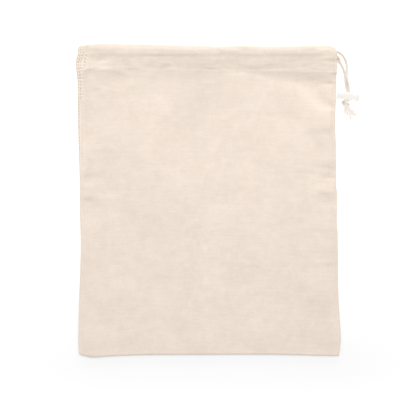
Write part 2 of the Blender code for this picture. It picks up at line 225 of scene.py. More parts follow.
# %% [markdown]
# ## Reading smooth lines
# The outline of the bag, the route of the cord and the heights of the folds are all short tables of
# points. One helper reads such a table on a smooth curve, and another turns a route's few points into
# many, with one every fraction of a millimetre.

# %% Helpers for smooth lines
def in_metres(*rows):
    """A table that is written in millimetres, as an array in metres."""
    return np.array(rows, float) / 1000


def along(rows, place):
    """Read rows of (place, value) on the smooth curve through them, for one place or for many."""
    spots, values = np.array(rows, float).T
    slopes = np.empty_like(values)
    slopes[1:-1] = (values[2:] - values[:-2]) / (spots[2:] - spots[:-2])
    slopes[0] = (values[1] - values[0]) / (spots[1] - spots[0])
    slopes[-1] = (values[-1] - values[-2]) / (spots[-1] - spots[-2])
    place = np.clip(place, spots[0], spots[-1])
    row = np.clip(np.searchsorted(spots, place) - 1, 0, len(spots) - 2)
    width = spots[row + 1] - spots[row]
    t = (place - spots[row]) / width
    return (values[row] * (1 + 2 * t) * (1 - t) ** 2 + values[row + 1] * t ** 2 * (3 - 2 * t)
            + width * t * (1 - t) * (slopes[row] * (1 - t) - slopes[row + 1] * t))


def eased(share):
    """Turn 0 to 1 into a smooth step."""
    share = np.clip(share, 0.0, 1.0)
    return share * share * (3 - 2 * share)


def between(low, high, share):
    """A value part of the way from one to another."""
    return low + (high - low) * share


def distance_along(line):
    """How far along the line each of its points lies."""
    steps = np.linalg.norm(np.diff(line, axis=0), axis=1)
    return np.concatenate([[0.0], np.cumsum(steps)])


def smooth_route(points, step):
    """A line through a route's points, with a point every step along it."""
    points = np.array(points, float)
    padded = np.vstack([2 * points[0] - points[1], points, 2 * points[-1] - points[-2]])
    t = np.linspace(0.0, 1.0, 12, endpoint=False)[:, None]
    fine = []
    for before, start, end, after in zip(padded, padded[1:], padded[2:], padded[3:]):
        fine.append(0.5 * (2 * start + (end - before) * t
                           + (2 * before - 5 * start + 4 * end - after) * t ** 2
                           + (3 * start - before - 3 * end + after) * t ** 3))
    fine = np.vstack(fine + [points[-1:]])
    run = distance_along(fine)
    places = np.linspace(0.0, run[-1], max(3, round(run[-1] / step) + 1))
    return np.stack([np.interp(places, run, fine[:, axis]) for axis in range(3)], axis=1)


def line_frames(line):
    """The direction of a line at each point, and two directions across it that turn as little as may be."""
    ahead = np.gradient(line, axis=0)
    ahead /= np.linalg.norm(ahead, axis=1)[:, None]
    guess = (0.0, 0.0, 1.0) if abs(ahead[0][2]) < 0.8 else (1.0, 0.0, 0.0)
    side = np.cross(ahead[0], guess)
    sides = np.empty_like(ahead)
    for index, way in enumerate(ahead):
        side = side - way * side.dot(way)
        side /= np.linalg.norm(side)
        sides[index] = side
    return ahead, sides, np.cross(ahead, sides)


print("a smooth reading:", round(float(along(((0, 0), (1, 1), (2, 0)), 0.5)), 3))

# %% [markdown]
# ## Tones and painted shade
# Cotton is never one even colour: it is paler where it was rubbed. Many rows, though, are painted light
# and shade: paler where light falls and deeper in creases, in gaps and under other parts. Such places are
# written as rows of soft ovals, which can overlap. Their sum is stored on the corners of a mesh as its
# tone, and the finish reads it there. The same ovals lift and sink the creases.

# %% Soft patches
def ovals(table, x, y):
    """For each row: how far along and across its oval each place lies, and the row's last value."""
    for middle_x, middle_y, turn, reach, spread, share in table:
        ahead, beside = math.cos(math.radians(turn)), math.sin(math.radians(turn))
        right, up = 1000 * x - middle_x, 1000 * y - middle_y
        yield (right * ahead + up * beside) / reach, (up * ahead - right * beside) / spread, share


def faded(square):
    """Fall softly from 1 in the middle towards 0; square is the distance from it, squared."""
    return np.exp(-np.minimum(square, 50))


def patches(table, x, y):
    """The sum of a table's ovals at each place."""
    total = np.zeros_like(x)
    for forward, across, share in ovals(table, x, y):
        total += share * faded(forward ** 2 + across ** 2)
    return total


def keep_tone(mesh, percent):
    """Store the tone on a mesh, as a factor for its colour."""
    layer = mesh.attributes.new("tone", "FLOAT", "POINT")
    layer.data.foreach_set("value", 1 + percent / 100)


def stored_tone(tree):
    """The tone that is stored on the mesh."""
    return node(tree, "Attribute", attribute_name="tone").outputs["Fac"]


def corner_places(mesh):
    """The x and the y of every corner of a mesh."""
    corners = np.empty(len(mesh.vertices) * 3)
    mesh.vertices.foreach_get("co", corners)
    return corners.reshape(-1, 3).T[:2]


print("tone in the middle of a patch:", patches(((0, 0, 0, 5, 5, -4),), np.zeros(1), np.zeros(1)))

# %% [markdown]
# ## Cotton cord: the finish
# The cord is three plies of unbleached cotton twisted together, matt and a little hairy. The twist of the
# plies is a real shape, so the material only adds what is finer: the slanting fibres of each ply, a
# slightly deeper colour here and there, and a soft sheen where loose fibres catch the light. The pattern
# reads the cord's own map, which runs round the ply and along it in metres. The cotton also has a faint
# painted glow, which lightens its shaded sides: more in the knot and the opened tails than in the
# twisted cord. Painted shade mixes brown into the tone in the knot, under the stopper, and between the
# strands and the tails.

# %% Twisted cotton
CORD_PAINTED_SHADE = (
    # middle x and y, direction in degrees, half length, half width in mm, and how much painted shade, as
    # brown, in percent
    (129.6, 94.8, -60, 2, 1.5, -82), (133.6, 92, -16, 2.9, 0.8, -55), (132, 134.4, -62, 3.6, 1.6, -12),
    (125.2, 135.6, -62, 2.6, 1.4, -12), (133.2, 109.2, 90, 3.2, 0.8, -16),
    (133.3, 124.2, 90, 1.5, 0.8, -16), (132.2, 112, 90, 4, 0.8, -8), (133.6, 109.6, 95, 6, 2.8, -12),
    (126, 141.6, -28, 2.5, 1.2, -6), (134.8, 89, 20, 1.6, 0.6, -20), (136.3, 86.6, -20, 1.8, 0.6, -20),
    (138.4, 85.3, -10, 1.6, 0.6, -16), (131.8, 84.8, 60, 1.5, 0.7, -14), (136.6, 80.2, 90, 1.6, 0.7, -18),
    (131.8, 87, 90, 1.2, 0.6, -14),
)
# painted shade: the brown mixed into the yarn in the knot, under the stopper and between the strands and
# tails
PAINTED_SHADE_BROWN = (0.30, 0.20, 0.12)
FIBRE_SCALES = (7.0, 1400.0, 1.0)
FIBRE_BUMP = 0.00012
CORD_LIGHT = (0.74, 0.665, 0.595)
CORD_DEEP = (0.63, 0.555, 0.48)
TAIL_LIGHT = (0.70, 0.66, 0.62)
TAIL_DEEP = (0.60, 0.55, 0.50)
PAINTED_COTTON_GLOW = (1.0, 0.94, 0.88, 1.0)


def twisted_cotton(name, light, deep, glow):
    """Soft white yarn with a painted glow, which lightens its shaded sides; glow is how much."""
    made, tree, shader = new_material(name, Roughness=0.95, Sheen_Weight=0.25, Sheen_Roughness=0.6,
                                      Specular_IOR_Level=0.2, Emission_Color=PAINTED_COTTON_GLOW,
                                      Emission_Strength=glow)
    ply_map = node(tree, "UVMap", uv_map="ply").outputs["UV"]
    fibres = streaks(ply_map, FIBRE_SCALES, 3.0, 0.6)
    cloudy = noise_at(object_place(tree), 420.0)
    mixed = maths("MULTIPLY_ADD", fibres, 0.45, maths("MULTIPLY", cloudy, 0.55))
    yarn = ramp(mixed, (0.30, deep), (0.62, light))
    # painted shade: the lower the stored tone, the more brown is mixed into the yarn
    painted_shade = maths("SUBTRACT", 1.0, stored_tone(tree))
    feed(shader.inputs["Base Color"], mixed_colour(painted_shade, yarn, PAINTED_SHADE_BROWN))
    feed(shader.inputs["Normal"], bump(fibres, FIBRE_BUMP, 0.6))
    return made


# painted light: the cord glows a little, the knot and the tails more
cord_cotton = twisted_cotton("cord_cotton", CORD_LIGHT, CORD_DEEP, 0.14)
tail_cotton = twisted_cotton("tail_cotton", TAIL_LIGHT, TAIL_DEEP, 0.33)
print("materials:", cord_cotton.name, tail_cotton.name)

# %% [markdown]
# ## The two free strands
# Both ends of the drawcord leave the hem at the right, hang together on the table and go through the
# stopper. A curve with a round bevel would give a smooth hose. Here each strand is three plies that wind
# round the strand's own line, which is what a twisted cord really is. The line keeps near the route of
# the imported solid: within about 2.3 mm, most of it in height.

# %% One ply as a tube, and a cord as three plies
PLIES = 3
PLY_ORBIT = 0.00062
PLY_RADIUS = 0.00074
CORD_LAY = 0.0064
STRAND_SIDES = 10
KNOT_SIDES = 9
HIDDEN_SIDES = 6
RING_STEP = 0.00042


def tube_rings(line, radii, sides):
    """The corners of a tube's rings along a line."""
    _, across, up = line_frames(line)
    angles = np.arange(sides) * 2 * math.pi / sides
    spokes = (across[:, None, :] * np.cos(angles)[None, :, None]
              + up[:, None, :] * np.sin(angles)[None, :, None])
    return line[:, None, :] + spokes * np.broadcast_to(radii, len(line))[:, None, None]


def tubes_object(name, tubes, look):
    """One object of closed tubes; each tube is (line, radii, sides)."""
    points, faces, maps = [], [], []
    for line, radii, sides in tubes:
        first, last_ring, run = sum(map(len, points)), len(line) - 1, distance_along(line)
        points.append(tube_rings(line, radii, sides).reshape(-1, 3))
        outlines = [((side, ring), (side + 1, ring), (side + 1, ring + 1), (side, ring + 1))
                    for ring in range(last_ring) for side in range(sides)]
        outlines.append([(side, 0) for side in range(sides)][::-1])
        outlines.append([(side, last_ring) for side in range(sides)])
        for corners in outlines:
            faces.append([first + ring * sides + side % sides for side, ring in corners])
            maps += [(side / sides, run[ring]) for side, ring in corners]
    mesh = bpy.data.meshes.new(name)
    mesh.from_pydata(np.vstack(points).tolist(), [], faces)
    mesh.uv_layers.new(name="ply").data.foreach_set("uv", np.ravel(maps))
    mesh.materials.append(look)
    mesh.shade_smooth()
    # the cord's painted shade is stored on the mesh as its tone
    keep_tone(mesh, patches(CORD_PAINTED_SHADE, *corner_places(mesh)))
    made = bpy.data.objects.new(name, mesh)
    scene.collection.objects.link(made)
    return made


def plies(line, orbit=PLY_ORBIT, radius=PLY_RADIUS, phase=0.0, sides=STRAND_SIDES):
    """Three plies wound round a line; orbit and radius may change along it."""
    _, across, up = line_frames(line)
    turn = 2 * math.pi * distance_along(line) / CORD_LAY + phase
    orbit = np.broadcast_to(orbit, len(line))
    wound = []
    for ply in range(PLIES):
        angle = turn + 2 * math.pi * ply / PLIES
        offset = across * np.cos(angle)[:, None] + up * np.sin(angle)[:, None]
        wound.append((line + offset * orbit[:, None], radius, sides))
    return wound


print("plies per cord:", PLIES, "lay in mm:", 1000 * CORD_LAY)

# %% The strands' routes, from inside the hem to the knot
STOPPER_CROSSING = np.array((0.1335, 0.0999, 0.0043))
STOPPER_TURN = math.radians(-8.0)
AXIS = np.array((math.cos(STOPPER_TURN), math.sin(STOPPER_TURN), 0.0))
ACROSS = np.array((AXIS[1], -AXIS[0], 0.0))
CORD_PITCH = 0.0023
BARREL_RADIUS = 0.0042
BEFORE_BARREL = 0.0006
AFTER_BARREL = 0.0004
UPPER_STRAND = in_metres(
    # across the bag, up it, and above the table; the first point lies inside the hem
    (116, 143.7, 3.3), (124, 142.4, 3.6), (126.6, 141.2, 3.2), (129.8, 138.3, 2.6), (132, 134.3, 1.9),
    (133.2, 129.7, 1.5), (133.4, 124.5, 2.1), (132.9, 119.5, 3.6), (133.4, 115, 3.8), (134.7, 109.6, 3.5),
)
LOWER_STRAND = in_metres(
    (116.5, 139.4, 1.8), (124.4, 137.5, 2), (126.2, 133.8, 1.6), (128.8, 129, 1.4), (130.5, 124.5, 1.4),
    (131.7, 119.5, 1.4), (131.8, 114.6, 2.1), (132.3, 110, 3),
)


def strand_route(strand, side):
    """The line of a strand through the stopper to the knot; side is +1 or -1."""
    middle = STOPPER_CROSSING + side * CORD_PITCH / 2 * AXIS
    entry = middle - ACROSS * (BARREL_RADIUS + BEFORE_BARREL)
    end = middle + ACROSS * (BARREL_RADIUS + AFTER_BARREL)
    return smooth_route([*strand, entry, middle, end], RING_STEP)


upper_line = strand_route(UPPER_STRAND, 1)
lower_line = strand_route(LOWER_STRAND, -1)
strand_upper = tubes_object("strand_upper", plies(upper_line, phase=0.6), cord_cotton)
strand_lower = tubes_object("strand_lower", plies(lower_line, phase=2.1), cord_cotton)

# %% [markdown]
# ## The cord inside the hem
# From the upper exit the cord runs along the front of the mouth, turns at the left side and comes back
# along the back. Nobody sees it, but it is what lifts the two soft rolls in the hem, so it is made at its
# place from the same twisted plies, with fewer sides.

# %% The run in the hem
TOP_EDGE = in_metres(
    # across the bag, and up it; the depths of the cord below this edge are read in the same way
    (-127, 147), (-123.2, 148.4), (-120, 149), (-117.2, 149.5), (-113.5, 150.1), (-106, 150.4),
    (-98, 150.7), (-90, 150.4), (-77, 150), (-61.5, 149.8), (-46, 149.1), (-30, 148.9), (-15.4, 148.4),
    (0, 148.2), (15.4, 147.9), (30, 148.3), (61.5, 147.9), (92, 148.1), (111, 148.3), (117.2, 148.3),
    (120.5, 147.8), (123.1, 146.9), (125, 145.8),
)
FRONT_CORD_DEPTH = in_metres((0, 4.7), (100, 5.7), (124, 2.6))
BACK_CORD_DEPTH = in_metres((0, 13.7), (96, 14.6), (124, 7.8))
FRONT_CORD_HEIGHT = 0.0031
BACK_CORD_HEIGHT = 0.0016
TURN_CENTRE = (-0.1075, 0.1411)
TURN_RADIUS = 0.0045
HEM_RUN = (-0.1040, 0.1150)
HEM_POINTS = 24
HEM_STEP = 0.0009


def hem_run(depth, height):
    """The points of one straight run of the cord in the hem."""
    return [(x, along(TOP_EDGE, x) - along(depth, x), height) for x in np.linspace(*HEM_RUN, HEM_POINTS)]


hem_turn = []
for eighth in range(1, 8):
    angle = math.pi / 2 + math.pi * eighth / 8
    hem_turn.append((TURN_CENTRE[0] + TURN_RADIUS * math.cos(angle),
                     TURN_CENTRE[1] + TURN_RADIUS * math.sin(angle),
                     between(FRONT_CORD_HEIGHT, BACK_CORD_HEIGHT, eased(eighth / 8))))
hem_line = smooth_route(hem_run(FRONT_CORD_DEPTH, FRONT_CORD_HEIGHT)[::-1] + hem_turn
                        + hem_run(BACK_CORD_DEPTH, BACK_CORD_HEIGHT), HEM_STEP)
cord_in_hem = tubes_object("cord_in_hem", plies(hem_line, sides=HIDDEN_SIDES), cord_cotton)
print("cord in the hem in mm:", round(1000 * float(distance_along(hem_line)[-1]), 1))

# %% [markdown]
# ## The knot and its tails
# Both strands are tied together in one overhand knot under the stopper. A round lump would lose it, so
# the pair of strands really goes through the knot: down behind, round the left, across the front, and
# back through its own loop. A third, thicker strand lies in the heart of the knot, so that no gap is left
# where the turns are pulled tight. Below it the cord is opened into five loose bundles of plies, each
# with a frayed tip. The tails are a piece of their own, because they are trimmed and opened after the
# knot is tied.

# %% Tie the knot
KNOT_DROP = 0.0074
KNOT_SHIFT = np.array((-0.0003, 0.0, -0.0012))
KNOT_CENTRE = STOPPER_CROSSING + ACROSS * KNOT_DROP + KNOT_SHIFT
KNOT_PATH = (
    # along the stopper's axis, up towards it, and above the table, from the middle of the knot, in mm
    (0, 3.9, 1.3), (0.3, 2.2, 0.7), (0.9, 0.5, -0.9), (0.3, -1, -1.45), (-1.4, -0.9, -1), (-2.7, 0.5, -0.4),
    (-2.6, 1.7, 0.2), (-1.3, 1.9, 1.3), (0.5, 1.4, 2), (2.1, 0.2, 1), (1.9, -1.1, -0.5), (0.8, -1.7, -0.6),
    (-0.3, -2.6, -0.3),
)
KNOT_CORE = ((-1.2, 1.6, 0.2), (-0.6, 0.6, 1.3), (0.3, -0.4, 1.75), (1.1, -1.4, 1.2), (1.4, -2.2, 0.2))
KNOT_PAIR = 0.00088
KNOT_ORBIT, KNOT_PLY = 0.00044, 0.00056
CORE_ORBIT, CORE_PLY = 0.00062, 0.00080


def knot_route(path):
    """A route on the knot's own plan, put in its place."""
    return smooth_route([KNOT_CENTRE + (AXIS * right - ACROSS * up + np.array((0.0, 0.0, above))) / 1000
                         for right, up, above in path], RING_STEP)


knot_line = knot_route(KNOT_PATH)
_, knot_side, _ = line_frames(knot_line)
knot_side = knot_side * np.sign(knot_side[0].dot(AXIS))
knot_tubes = []
for side in (1, -1):
    knot_tubes += plies(knot_line + side * KNOT_PAIR * knot_side, KNOT_ORBIT, KNOT_PLY, side, KNOT_SIDES)
knot_tubes += plies(knot_route(KNOT_CORE), CORE_ORBIT, CORE_PLY, 0.4, KNOT_SIDES)
knot = tubes_object("cord_knot_tied", knot_tubes, tail_cotton)
print("turns of the knot in mm:", round(1000 * float(distance_along(knot_line)[-1]), 1))

# %% The tails and their frayed tips
TAILS = (
    # route; how far the plies open and the ply's radius, from start to end; then for the loose fibres at
    # the tip: how many, how long, and how far they spread as a share of that; all the lengths in mm
    (((132.8, 91.2, 3.4), (135, 88.8, 2.8), (137.4, 86.8, 2.4), (139.6, 85, 2.3), (141.3, 82.8, 2.2)),
     (0.80, 1.00), (0.86, 1.00), 44, 2.2, 0.62),
    (((132.4, 91.2, 2.8), (133.7, 88.4, 2.2), (134.9, 85.2, 1.9), (136, 82.3, 1.6), (136.6, 79.7, 1.3)),
     (0.80, 0.36), (0.84, 0.54), 30, 2.4, 0.30),
    (((130.9, 91.2, 2.8), (131, 88.8, 2.2), (131.4, 86.2, 1.8), (132, 83.6, 1.6)),
     (0.68, 0.58), (0.80, 0.70), 28, 1.7, 0.45),
    (((133.4, 90.8, 3.2), (135.2, 88.2, 2.5), (136.9, 85.6, 2), (138.5, 83, 1.7)),
     (0.78, 0.74), (0.84, 0.82), 30, 1.6, 0.60),
    (((132.6, 90.6, 3.3), (133.4, 87.8, 2.4), (134.1, 85.2, 1.8), (134.7, 82.6, 1.5)),
     (0.70, 0.62), (0.80, 0.70), 28, 1.5, 0.55),
)
FIBRE_RADIUS = 0.00009
FIBRE_TAPER = np.array((1.4, 1.2, 0.9, 0.35))
FIBRE_ROOT = 0.0006
LOWEST_FIBRE = 0.00025
fray_dice = random.Random(11)
tail_tubes = []
for route, opening, radii, count, long, spread in TAILS:
    opening, radii = in_metres(opening, radii)
    line = smooth_route(in_metres(*route), RING_STEP)
    share = distance_along(line) / distance_along(line)[-1]
    tail_tubes += plies(line, np.interp(share, (0, 1), opening), np.interp(share, (0, 1), radii),
                        sides=KNOT_SIDES)
    ahead, across, up = (direction[-1] for direction in line_frames(line))
    for _ in range(count):
        angle = fray_dice.uniform(0, 2 * math.pi)
        outward = (across * math.cos(angle) + up * math.sin(angle)) * fray_dice.uniform(0.2, 1.0)
        root = line[-1] + outward * (opening[1] + radii[1]) - ahead * FIBRE_ROOT
        bend = np.array([fray_dice.uniform(-1, 1), fray_dice.uniform(-1, 1), -0.5]) * 0.25
        reach = long / 1000 * fray_dice.uniform(0.55, 1.0) + FIBRE_ROOT
        hair = np.array([root + ((ahead + outward * spread) * t + bend * t * t) * reach
                         for t in (0.0, 0.35, 0.7, 1.0)])
        hair[:, 2] = np.maximum(hair[:, 2], LOWEST_FIBRE)
        tail_tubes.append((hair, FIBRE_RADIUS * FIBRE_TAPER, 4))
tails = tubes_object("cord_tails", tail_tubes, tail_cotton)
for piece in (knot, tails):
    low = min(corner.co.z for corner in piece.data.vertices)
    print(piece.name, "faces:", len(piece.data.polygons), "lowest point in mm:", round(1000 * low, 2))

# %% [markdown]
# ## The cord stopper
# The stopper is two white mouldings: a barrel that is closed at its left end and has a hole across it
# for the cords, and a button that a spring inside pushes out. Both are turned shapes, so each is drawn as
# a profile from the axis to the rim and spun, and then the cord hole is cut through. The slot in the
# button is longer than the one in the barrel, so that the cords stay clear over the button's travel.
# The plastic's whiteness is mostly painted light: the finish has a dim surface colour and an even glow of
# its own, so its shaded side stays nearly as white as its lit one.

# %% Moulded plastic with a painted glow
PLASTIC_WHITE = (0.165, 0.161, 0.155)
PLASTIC_AGED = (0.138, 0.132, 0.123)
# painted light: the colour and the strength of the plastic's even glow
PAINTED_GLOW_COLOUR = (1.0, 0.966, 0.918, 1.0)
PAINTED_PLASTIC_GLOW = 0.775


def moulded_white(name, shade):
    """White plastic with a slightly uneven skin and a painted glow; shade makes one moulding a little
    greyer than another.
    """
    made, tree, shader = new_material(
        name, Roughness=0.38, Specular_IOR_Level=0.12, Coat_Weight=0.04, Coat_Roughness=0.25,
        Emission_Color=PAINTED_GLOW_COLOUR, Emission_Strength=PAINTED_PLASTIC_GLOW)
    light, aged = (tuple(value * shade for value in colour) for colour in (PLASTIC_WHITE, PLASTIC_AGED))
    place = object_place(tree)
    feed(shader.inputs["Base Color"], ramp(noise_at(place, 260.0, 3.0), (0.35, aged), (0.60, light)))
    feed(shader.inputs["Normal"], bump(noise_at(place, 1900.0), 0.00003, 0.35))
    return made


barrel_white = moulded_white("barrel_plastic", 1.0)
button_white = moulded_white("button_plastic", 0.985)
print("materials:", barrel_white.name, button_white.name)

# %% Turn a profile round the stopper's axis
CROSSING_DEPTH = 0.0103
STOPPER_START = Vector(STOPPER_CROSSING - CROSSING_DEPTH * AXIS)
STOPPER_AXIS = Vector(AXIS)
TURN_STEPS = 48
CUTTER_LENGTH = 0.03
SLOT_ROUNDING = 0.42
MERGE_DISTANCE = 0.00001


def spun(name, profile, look):
    """Spin a profile of (radius, distance along the axis) round the stopper's axis."""
    up = Vector((0.0, 0.0, 1.0))
    spots = [STOPPER_START + STOPPER_AXIS * place + up * radius for radius, place in profile]
    bpy.ops.mesh.primitive_plane_add(size=0.001, location=spots[0])
    piece = bpy.context.object
    piece.name = name
    bpy.ops.object.transform_apply(location=True, rotation=True, scale=True)
    bpy.ops.object.mode_set(mode="EDIT")
    bpy.ops.mesh.select_mode(type="VERT")
    bpy.ops.mesh.select_all(action="SELECT")
    bpy.ops.mesh.merge(type="CENTER")
    for before, after in zip(spots, spots[1:]):
        bpy.ops.mesh.extrude_region_move(TRANSFORM_OT_translate={"value": after - before})
    bpy.ops.mesh.select_all(action="SELECT")
    bpy.ops.mesh.spin(steps=TURN_STEPS, angle=2 * math.pi, center=STOPPER_START, axis=STOPPER_AXIS)
    bpy.ops.mesh.select_all(action="SELECT")
    bpy.ops.mesh.remove_doubles(threshold=MERGE_DISTANCE)
    bpy.ops.mesh.normals_make_consistent(inside=False)
    bpy.ops.object.mode_set(mode="OBJECT")
    piece.data.materials.append(look)
    return piece


def cut_slot(piece, start, end, width):
    """Cut a round-ended slot across the axis, from start to end along it."""
    bpy.ops.mesh.primitive_cube_add(size=1.0, location=NOTHING)
    cutter = bpy.context.object
    cutter.data.transform(Matrix.Diagonal((end - start, CUTTER_LENGTH, width, 1.0)))
    bpy.ops.object.mode_set(mode="EDIT")
    bpy.ops.mesh.select_mode(type="EDGE")
    bpy.ops.mesh.select_all(action="DESELECT")
    bpy.ops.object.mode_set(mode="OBJECT")
    for edge in cutter.data.edges:
        one, other = (cutter.data.vertices[index].co for index in edge.vertices)
        edge.select = abs(one.y - other.y) > CUTTER_LENGTH / 2
    bpy.ops.object.mode_set(mode="EDIT")
    bpy.ops.mesh.bevel(offset=width * SLOT_ROUNDING, segments=6, profile=0.5)
    bpy.ops.object.mode_set(mode="OBJECT")
    middle = STOPPER_START + STOPPER_AXIS * (start + end) / 2
    cutter.data.transform(Matrix.Translation(middle) @ Matrix.Rotation(STOPPER_TURN, 4, "Z"))
    choose_only(piece)
    step = piece.modifiers.new("cord hole", "BOOLEAN")
    step.operation = "DIFFERENCE"
    step.solver = "EXACT"
    step.object = cutter
    bpy.ops.object.modifier_apply(modifier=step.name)
    bpy.data.objects.remove(cutter)


print("stopper starts at", [round(1000 * value, 1) for value in STOPPER_START])

# %% The barrel and the button
BARREL_LENGTH = 0.0154
STOPPER_LENGTH = 0.0222
BORE_RADIUS = 0.0031
SLOT_START = CROSSING_DEPTH - 0.00245
SLOT_END = CROSSING_DEPTH + 0.00245
SLOT_WIDTH = 0.0026
BUTTON_TRAVEL = 0.0022
TRAVEL_ROOM = 0.0003
SLOT_ROOM = 0.0007
HEAD_START = BARREL_LENGTH + BUTTON_TRAVEL + TRAVEL_ROOM
STEM_RADIUS = BORE_RADIUS - 0.0003
STEM_START = SLOT_START - 0.0015
SOFT_EDGE = math.radians(28)
BARREL_PROFILE = in_metres(
    # radius, and distance along the axis; up the bore and round the lip, then back over the outside
    (0, 1.4), (3.1, 1.4), (3.1, 15.1), (3.4, 15.4), (3.9, 15.4), (4.12, 15.3), (4.2, 15.1), (4.2, 14.1),
    (4.12, 13.95), (4, 13.8), (4, 3), (4.12, 2.85), (4.2, 2.7), (4.2, 1.1), (4.1, 0.6), (3.8, 0.2),
    (3.3, 0), (1.4, 0), (1.2, 0.2), (0, 0.2),
)
BUTTON_PROFILE = (
    (0.0, STOPPER_LENGTH), (0.0014, 0.02214), (0.0024, 0.02196), (0.0033, 0.0216), (0.0039, 0.0210),
    (0.0042, 0.0202), (0.0042, 0.0186), (0.0041, 0.0182), (0.0038, HEAD_START), (0.0031, HEAD_START),
    (STEM_RADIUS, HEAD_START - 0.0002), (STEM_RADIUS, STEM_START + 0.0004),
    (STEM_RADIUS - 0.0004, STEM_START), (0.0, STEM_START),
)
barrel = spun("stopper_barrel_turned", BARREL_PROFILE, barrel_white)
cut_slot(barrel, SLOT_START, SLOT_END, SLOT_WIDTH)
button = spun("stopper_button_turned", BUTTON_PROFILE, button_white)
cut_slot(button, SLOT_START - TRAVEL_ROOM, SLOT_END + BUTTON_TRAVEL + SLOT_ROOM, SLOT_WIDTH)
for piece in (barrel, button):
    choose_only(piece)
    bpy.ops.object.shade_smooth_by_angle(angle=SOFT_EDGE)
    print(piece.name, "faces:", len(piece.data.polygons))

# %% [markdown]
# ## The calico: how it was cut and sewn
# The whole bag is one strip of calico, 250 mm wide and about 650 mm long. It starts at the raw edge of
# the back hem, goes up inside to the mouth, down the back, round the bottom fold, up the front, and
# over the mouth to the raw edge of the front hem. Two plates stuck together would never look like cloth,
# so the strip is laid out as one grid that follows that path, and its sides are then joined.
# A simulation could drape it, but a pressed, flat bag keeps every crease where it was folded, so the
# creases are listed one by one, as soft ridges and troughs with a length, a width and a height.

# %% The outline of the bag
LEFT_EDGE = in_metres(
    # up the bag, and across it; the edges at the top and the bottom are the other way round
    (-150, -120.5), (-148.5, -122.8), (-146, -123.9), (-135, -124.4), (-102, -123.9), (-50, -122.3),
    (-10, -123), (15, -123.3), (30, -123.6), (60, -124.5), (100, -125.1), (118, -125.6), (124, -126.4),
    (129.5, -127.2), (134, -127), (138.5, -125.9), (142, -125.1), (146, -124.7), (150, -123.8),
)
RIGHT_EDGE = in_metres(
    (-150, 125.2), (-143, 126.4), (-134, 127.3), (-122, 126.9), (-95, 125.2), (-50, 124.7), (-30, 124.5),
    (-20, 123.8), (5, 124), (15, 123.2), (50, 122.9), (75, 122.3), (105, 123), (125, 123.5), (134, 124.1),
    (139, 123.8), (143, 123), (150, 122.3),
)
BOTTOM_EDGE = in_metres(
    (-125, -147.6), (-119, -149.6), (-113, -150.4), (-106, -149.8), (-80, -148.5), (-56, -147.9),
    (0, -147.7), (60, -147.6), (90, -148.2), (106, -148.6), (126, -149),
)
STITCH_LINE = in_metres(
    (-125, 125), (-70, 125.4), (-30, 125.3), (0, 125.6), (40, 125.2), (90, 124.6), (125, 124),
)
CLOTH = 0.00046
LAYER = 0.00050
BACK_HEIGHT = CLOTH / 2 + 0.00002
FOLD_HEIGHT = BACK_HEIGHT + LAYER / 2
LIFTED_FOLD = FOLD_HEIGHT + LAYER / 2
HEM_DEPTH = 0.0242
STITCH_DEPTH = 0.0226
BAG_WIDTH = 0.2490
CLOSED_CORNER = 0.0195
print("cloth thickness in mm:", 1000 * CLOTH)

# %% Where the grid's columns and rows lie
EDGE_STEPS = in_metres(0, 0.3, 0.8, 1.4, 2.1, 2.9, 3.8, 4.8, 5.9, 7.1, 8.4, 9.8)
COLUMN_STEP = 0.0026
FINE_COLUMNS = (0.1290, 0.1430, 0.0009)
FRONT_ROW = 0.00108
BACK_ROW = 0.0060
BODY_LENGTH = 0.2730
HEM_DEPTHS = in_metres(
    0, 0.2, 0.5, 0.9, 1.5, 2.2, 3, 3.8, 4.6, 5.4, 6.2, 7, 7.8, 8.6, 9.4, 10.2, 11, 11.9, 12.8, 13.7, 14.6,
    15.5, 16.4, 17.3, 18.2, 19.1, 20, 20.8, 21.5, 22.1, 22.6, 23.1, 23.6, 24.2,
)
INSIDE_DEPTHS = HEM_DEPTHS[1::2]
BOTTOM_RISES = in_metres(0, 0.3, 0.8, 1.5, 2.4, 3.5, 4.7)


def column_places():
    """How far across the bag each column lies, as a share of its width."""
    first, last = EDGE_STEPS[-1], BAG_WIDTH - EDGE_STEPS[-1]
    fine_start, fine_end, fine_step = FINE_COLUMNS
    runs = [np.linspace(start, end, round((end - start) / step) + 1)[:-1] for start, end, step in (
        (first, fine_start, COLUMN_STEP), (fine_start, fine_end, fine_step), (fine_end, last, COLUMN_STEP))]
    return np.concatenate([EDGE_STEPS[:-1], *runs, (BAG_WIDTH - EDGE_STEPS)[::-1]]) / BAG_WIDTH


def body_shares(step):
    """The rows of one layer between the hem and the bottom, as shares of the way down."""
    return np.linspace(0.0, 1.0, round(BODY_LENGTH / step) + 1)[1:-1]


STRIP = (
    # the layer, how its rows are placed, and their values, from one end of the strip to the other
    ("back hem", "depth", INSIDE_DEPTHS[::-1]), ("back", "depth", HEM_DEPTHS[::2]),
    ("back", "share", body_shares(BACK_ROW)), ("back", "rise", BOTTOM_RISES[:0:-1]),
    ("fold", "rise", BOTTOM_RISES[:1]), ("front", "rise", BOTTOM_RISES[1:]),
    ("front", "share", body_shares(FRONT_ROW)[::-1]), ("front", "depth", HEM_DEPTHS[::-1]),
    ("front hem", "depth", INSIDE_DEPTHS),
)
columns = column_places()
rows = [(layer, kind, value) for layer, kind, values in STRIP for value in values]
hem_start = int(np.searchsorted(columns * BAG_WIDTH, CLOSED_CORNER))
print("columns:", len(columns), "rows:", len(rows))

# %% [markdown]
# ## The roll at the mouth
# Across the hem the front stands up in two soft rolls, one over each run of the cord, with a valley
# between them, and it comes down to the stitch line. The heights are read from short tables of depth
# below the mouth, one for each layer, and the depths follow the cord as it slants across the bag.

# %% Heights of the layers in the hem
VALLEY_LINE = 0.1378
VALLEY_GAP = 3.0
SECOND_GAP = 3.4


def hem_stretch(x, top):
    """How much deeper than its plan the hem is where x is across the bag."""
    return (top - along(STITCH_LINE, x)) / STITCH_DEPTH


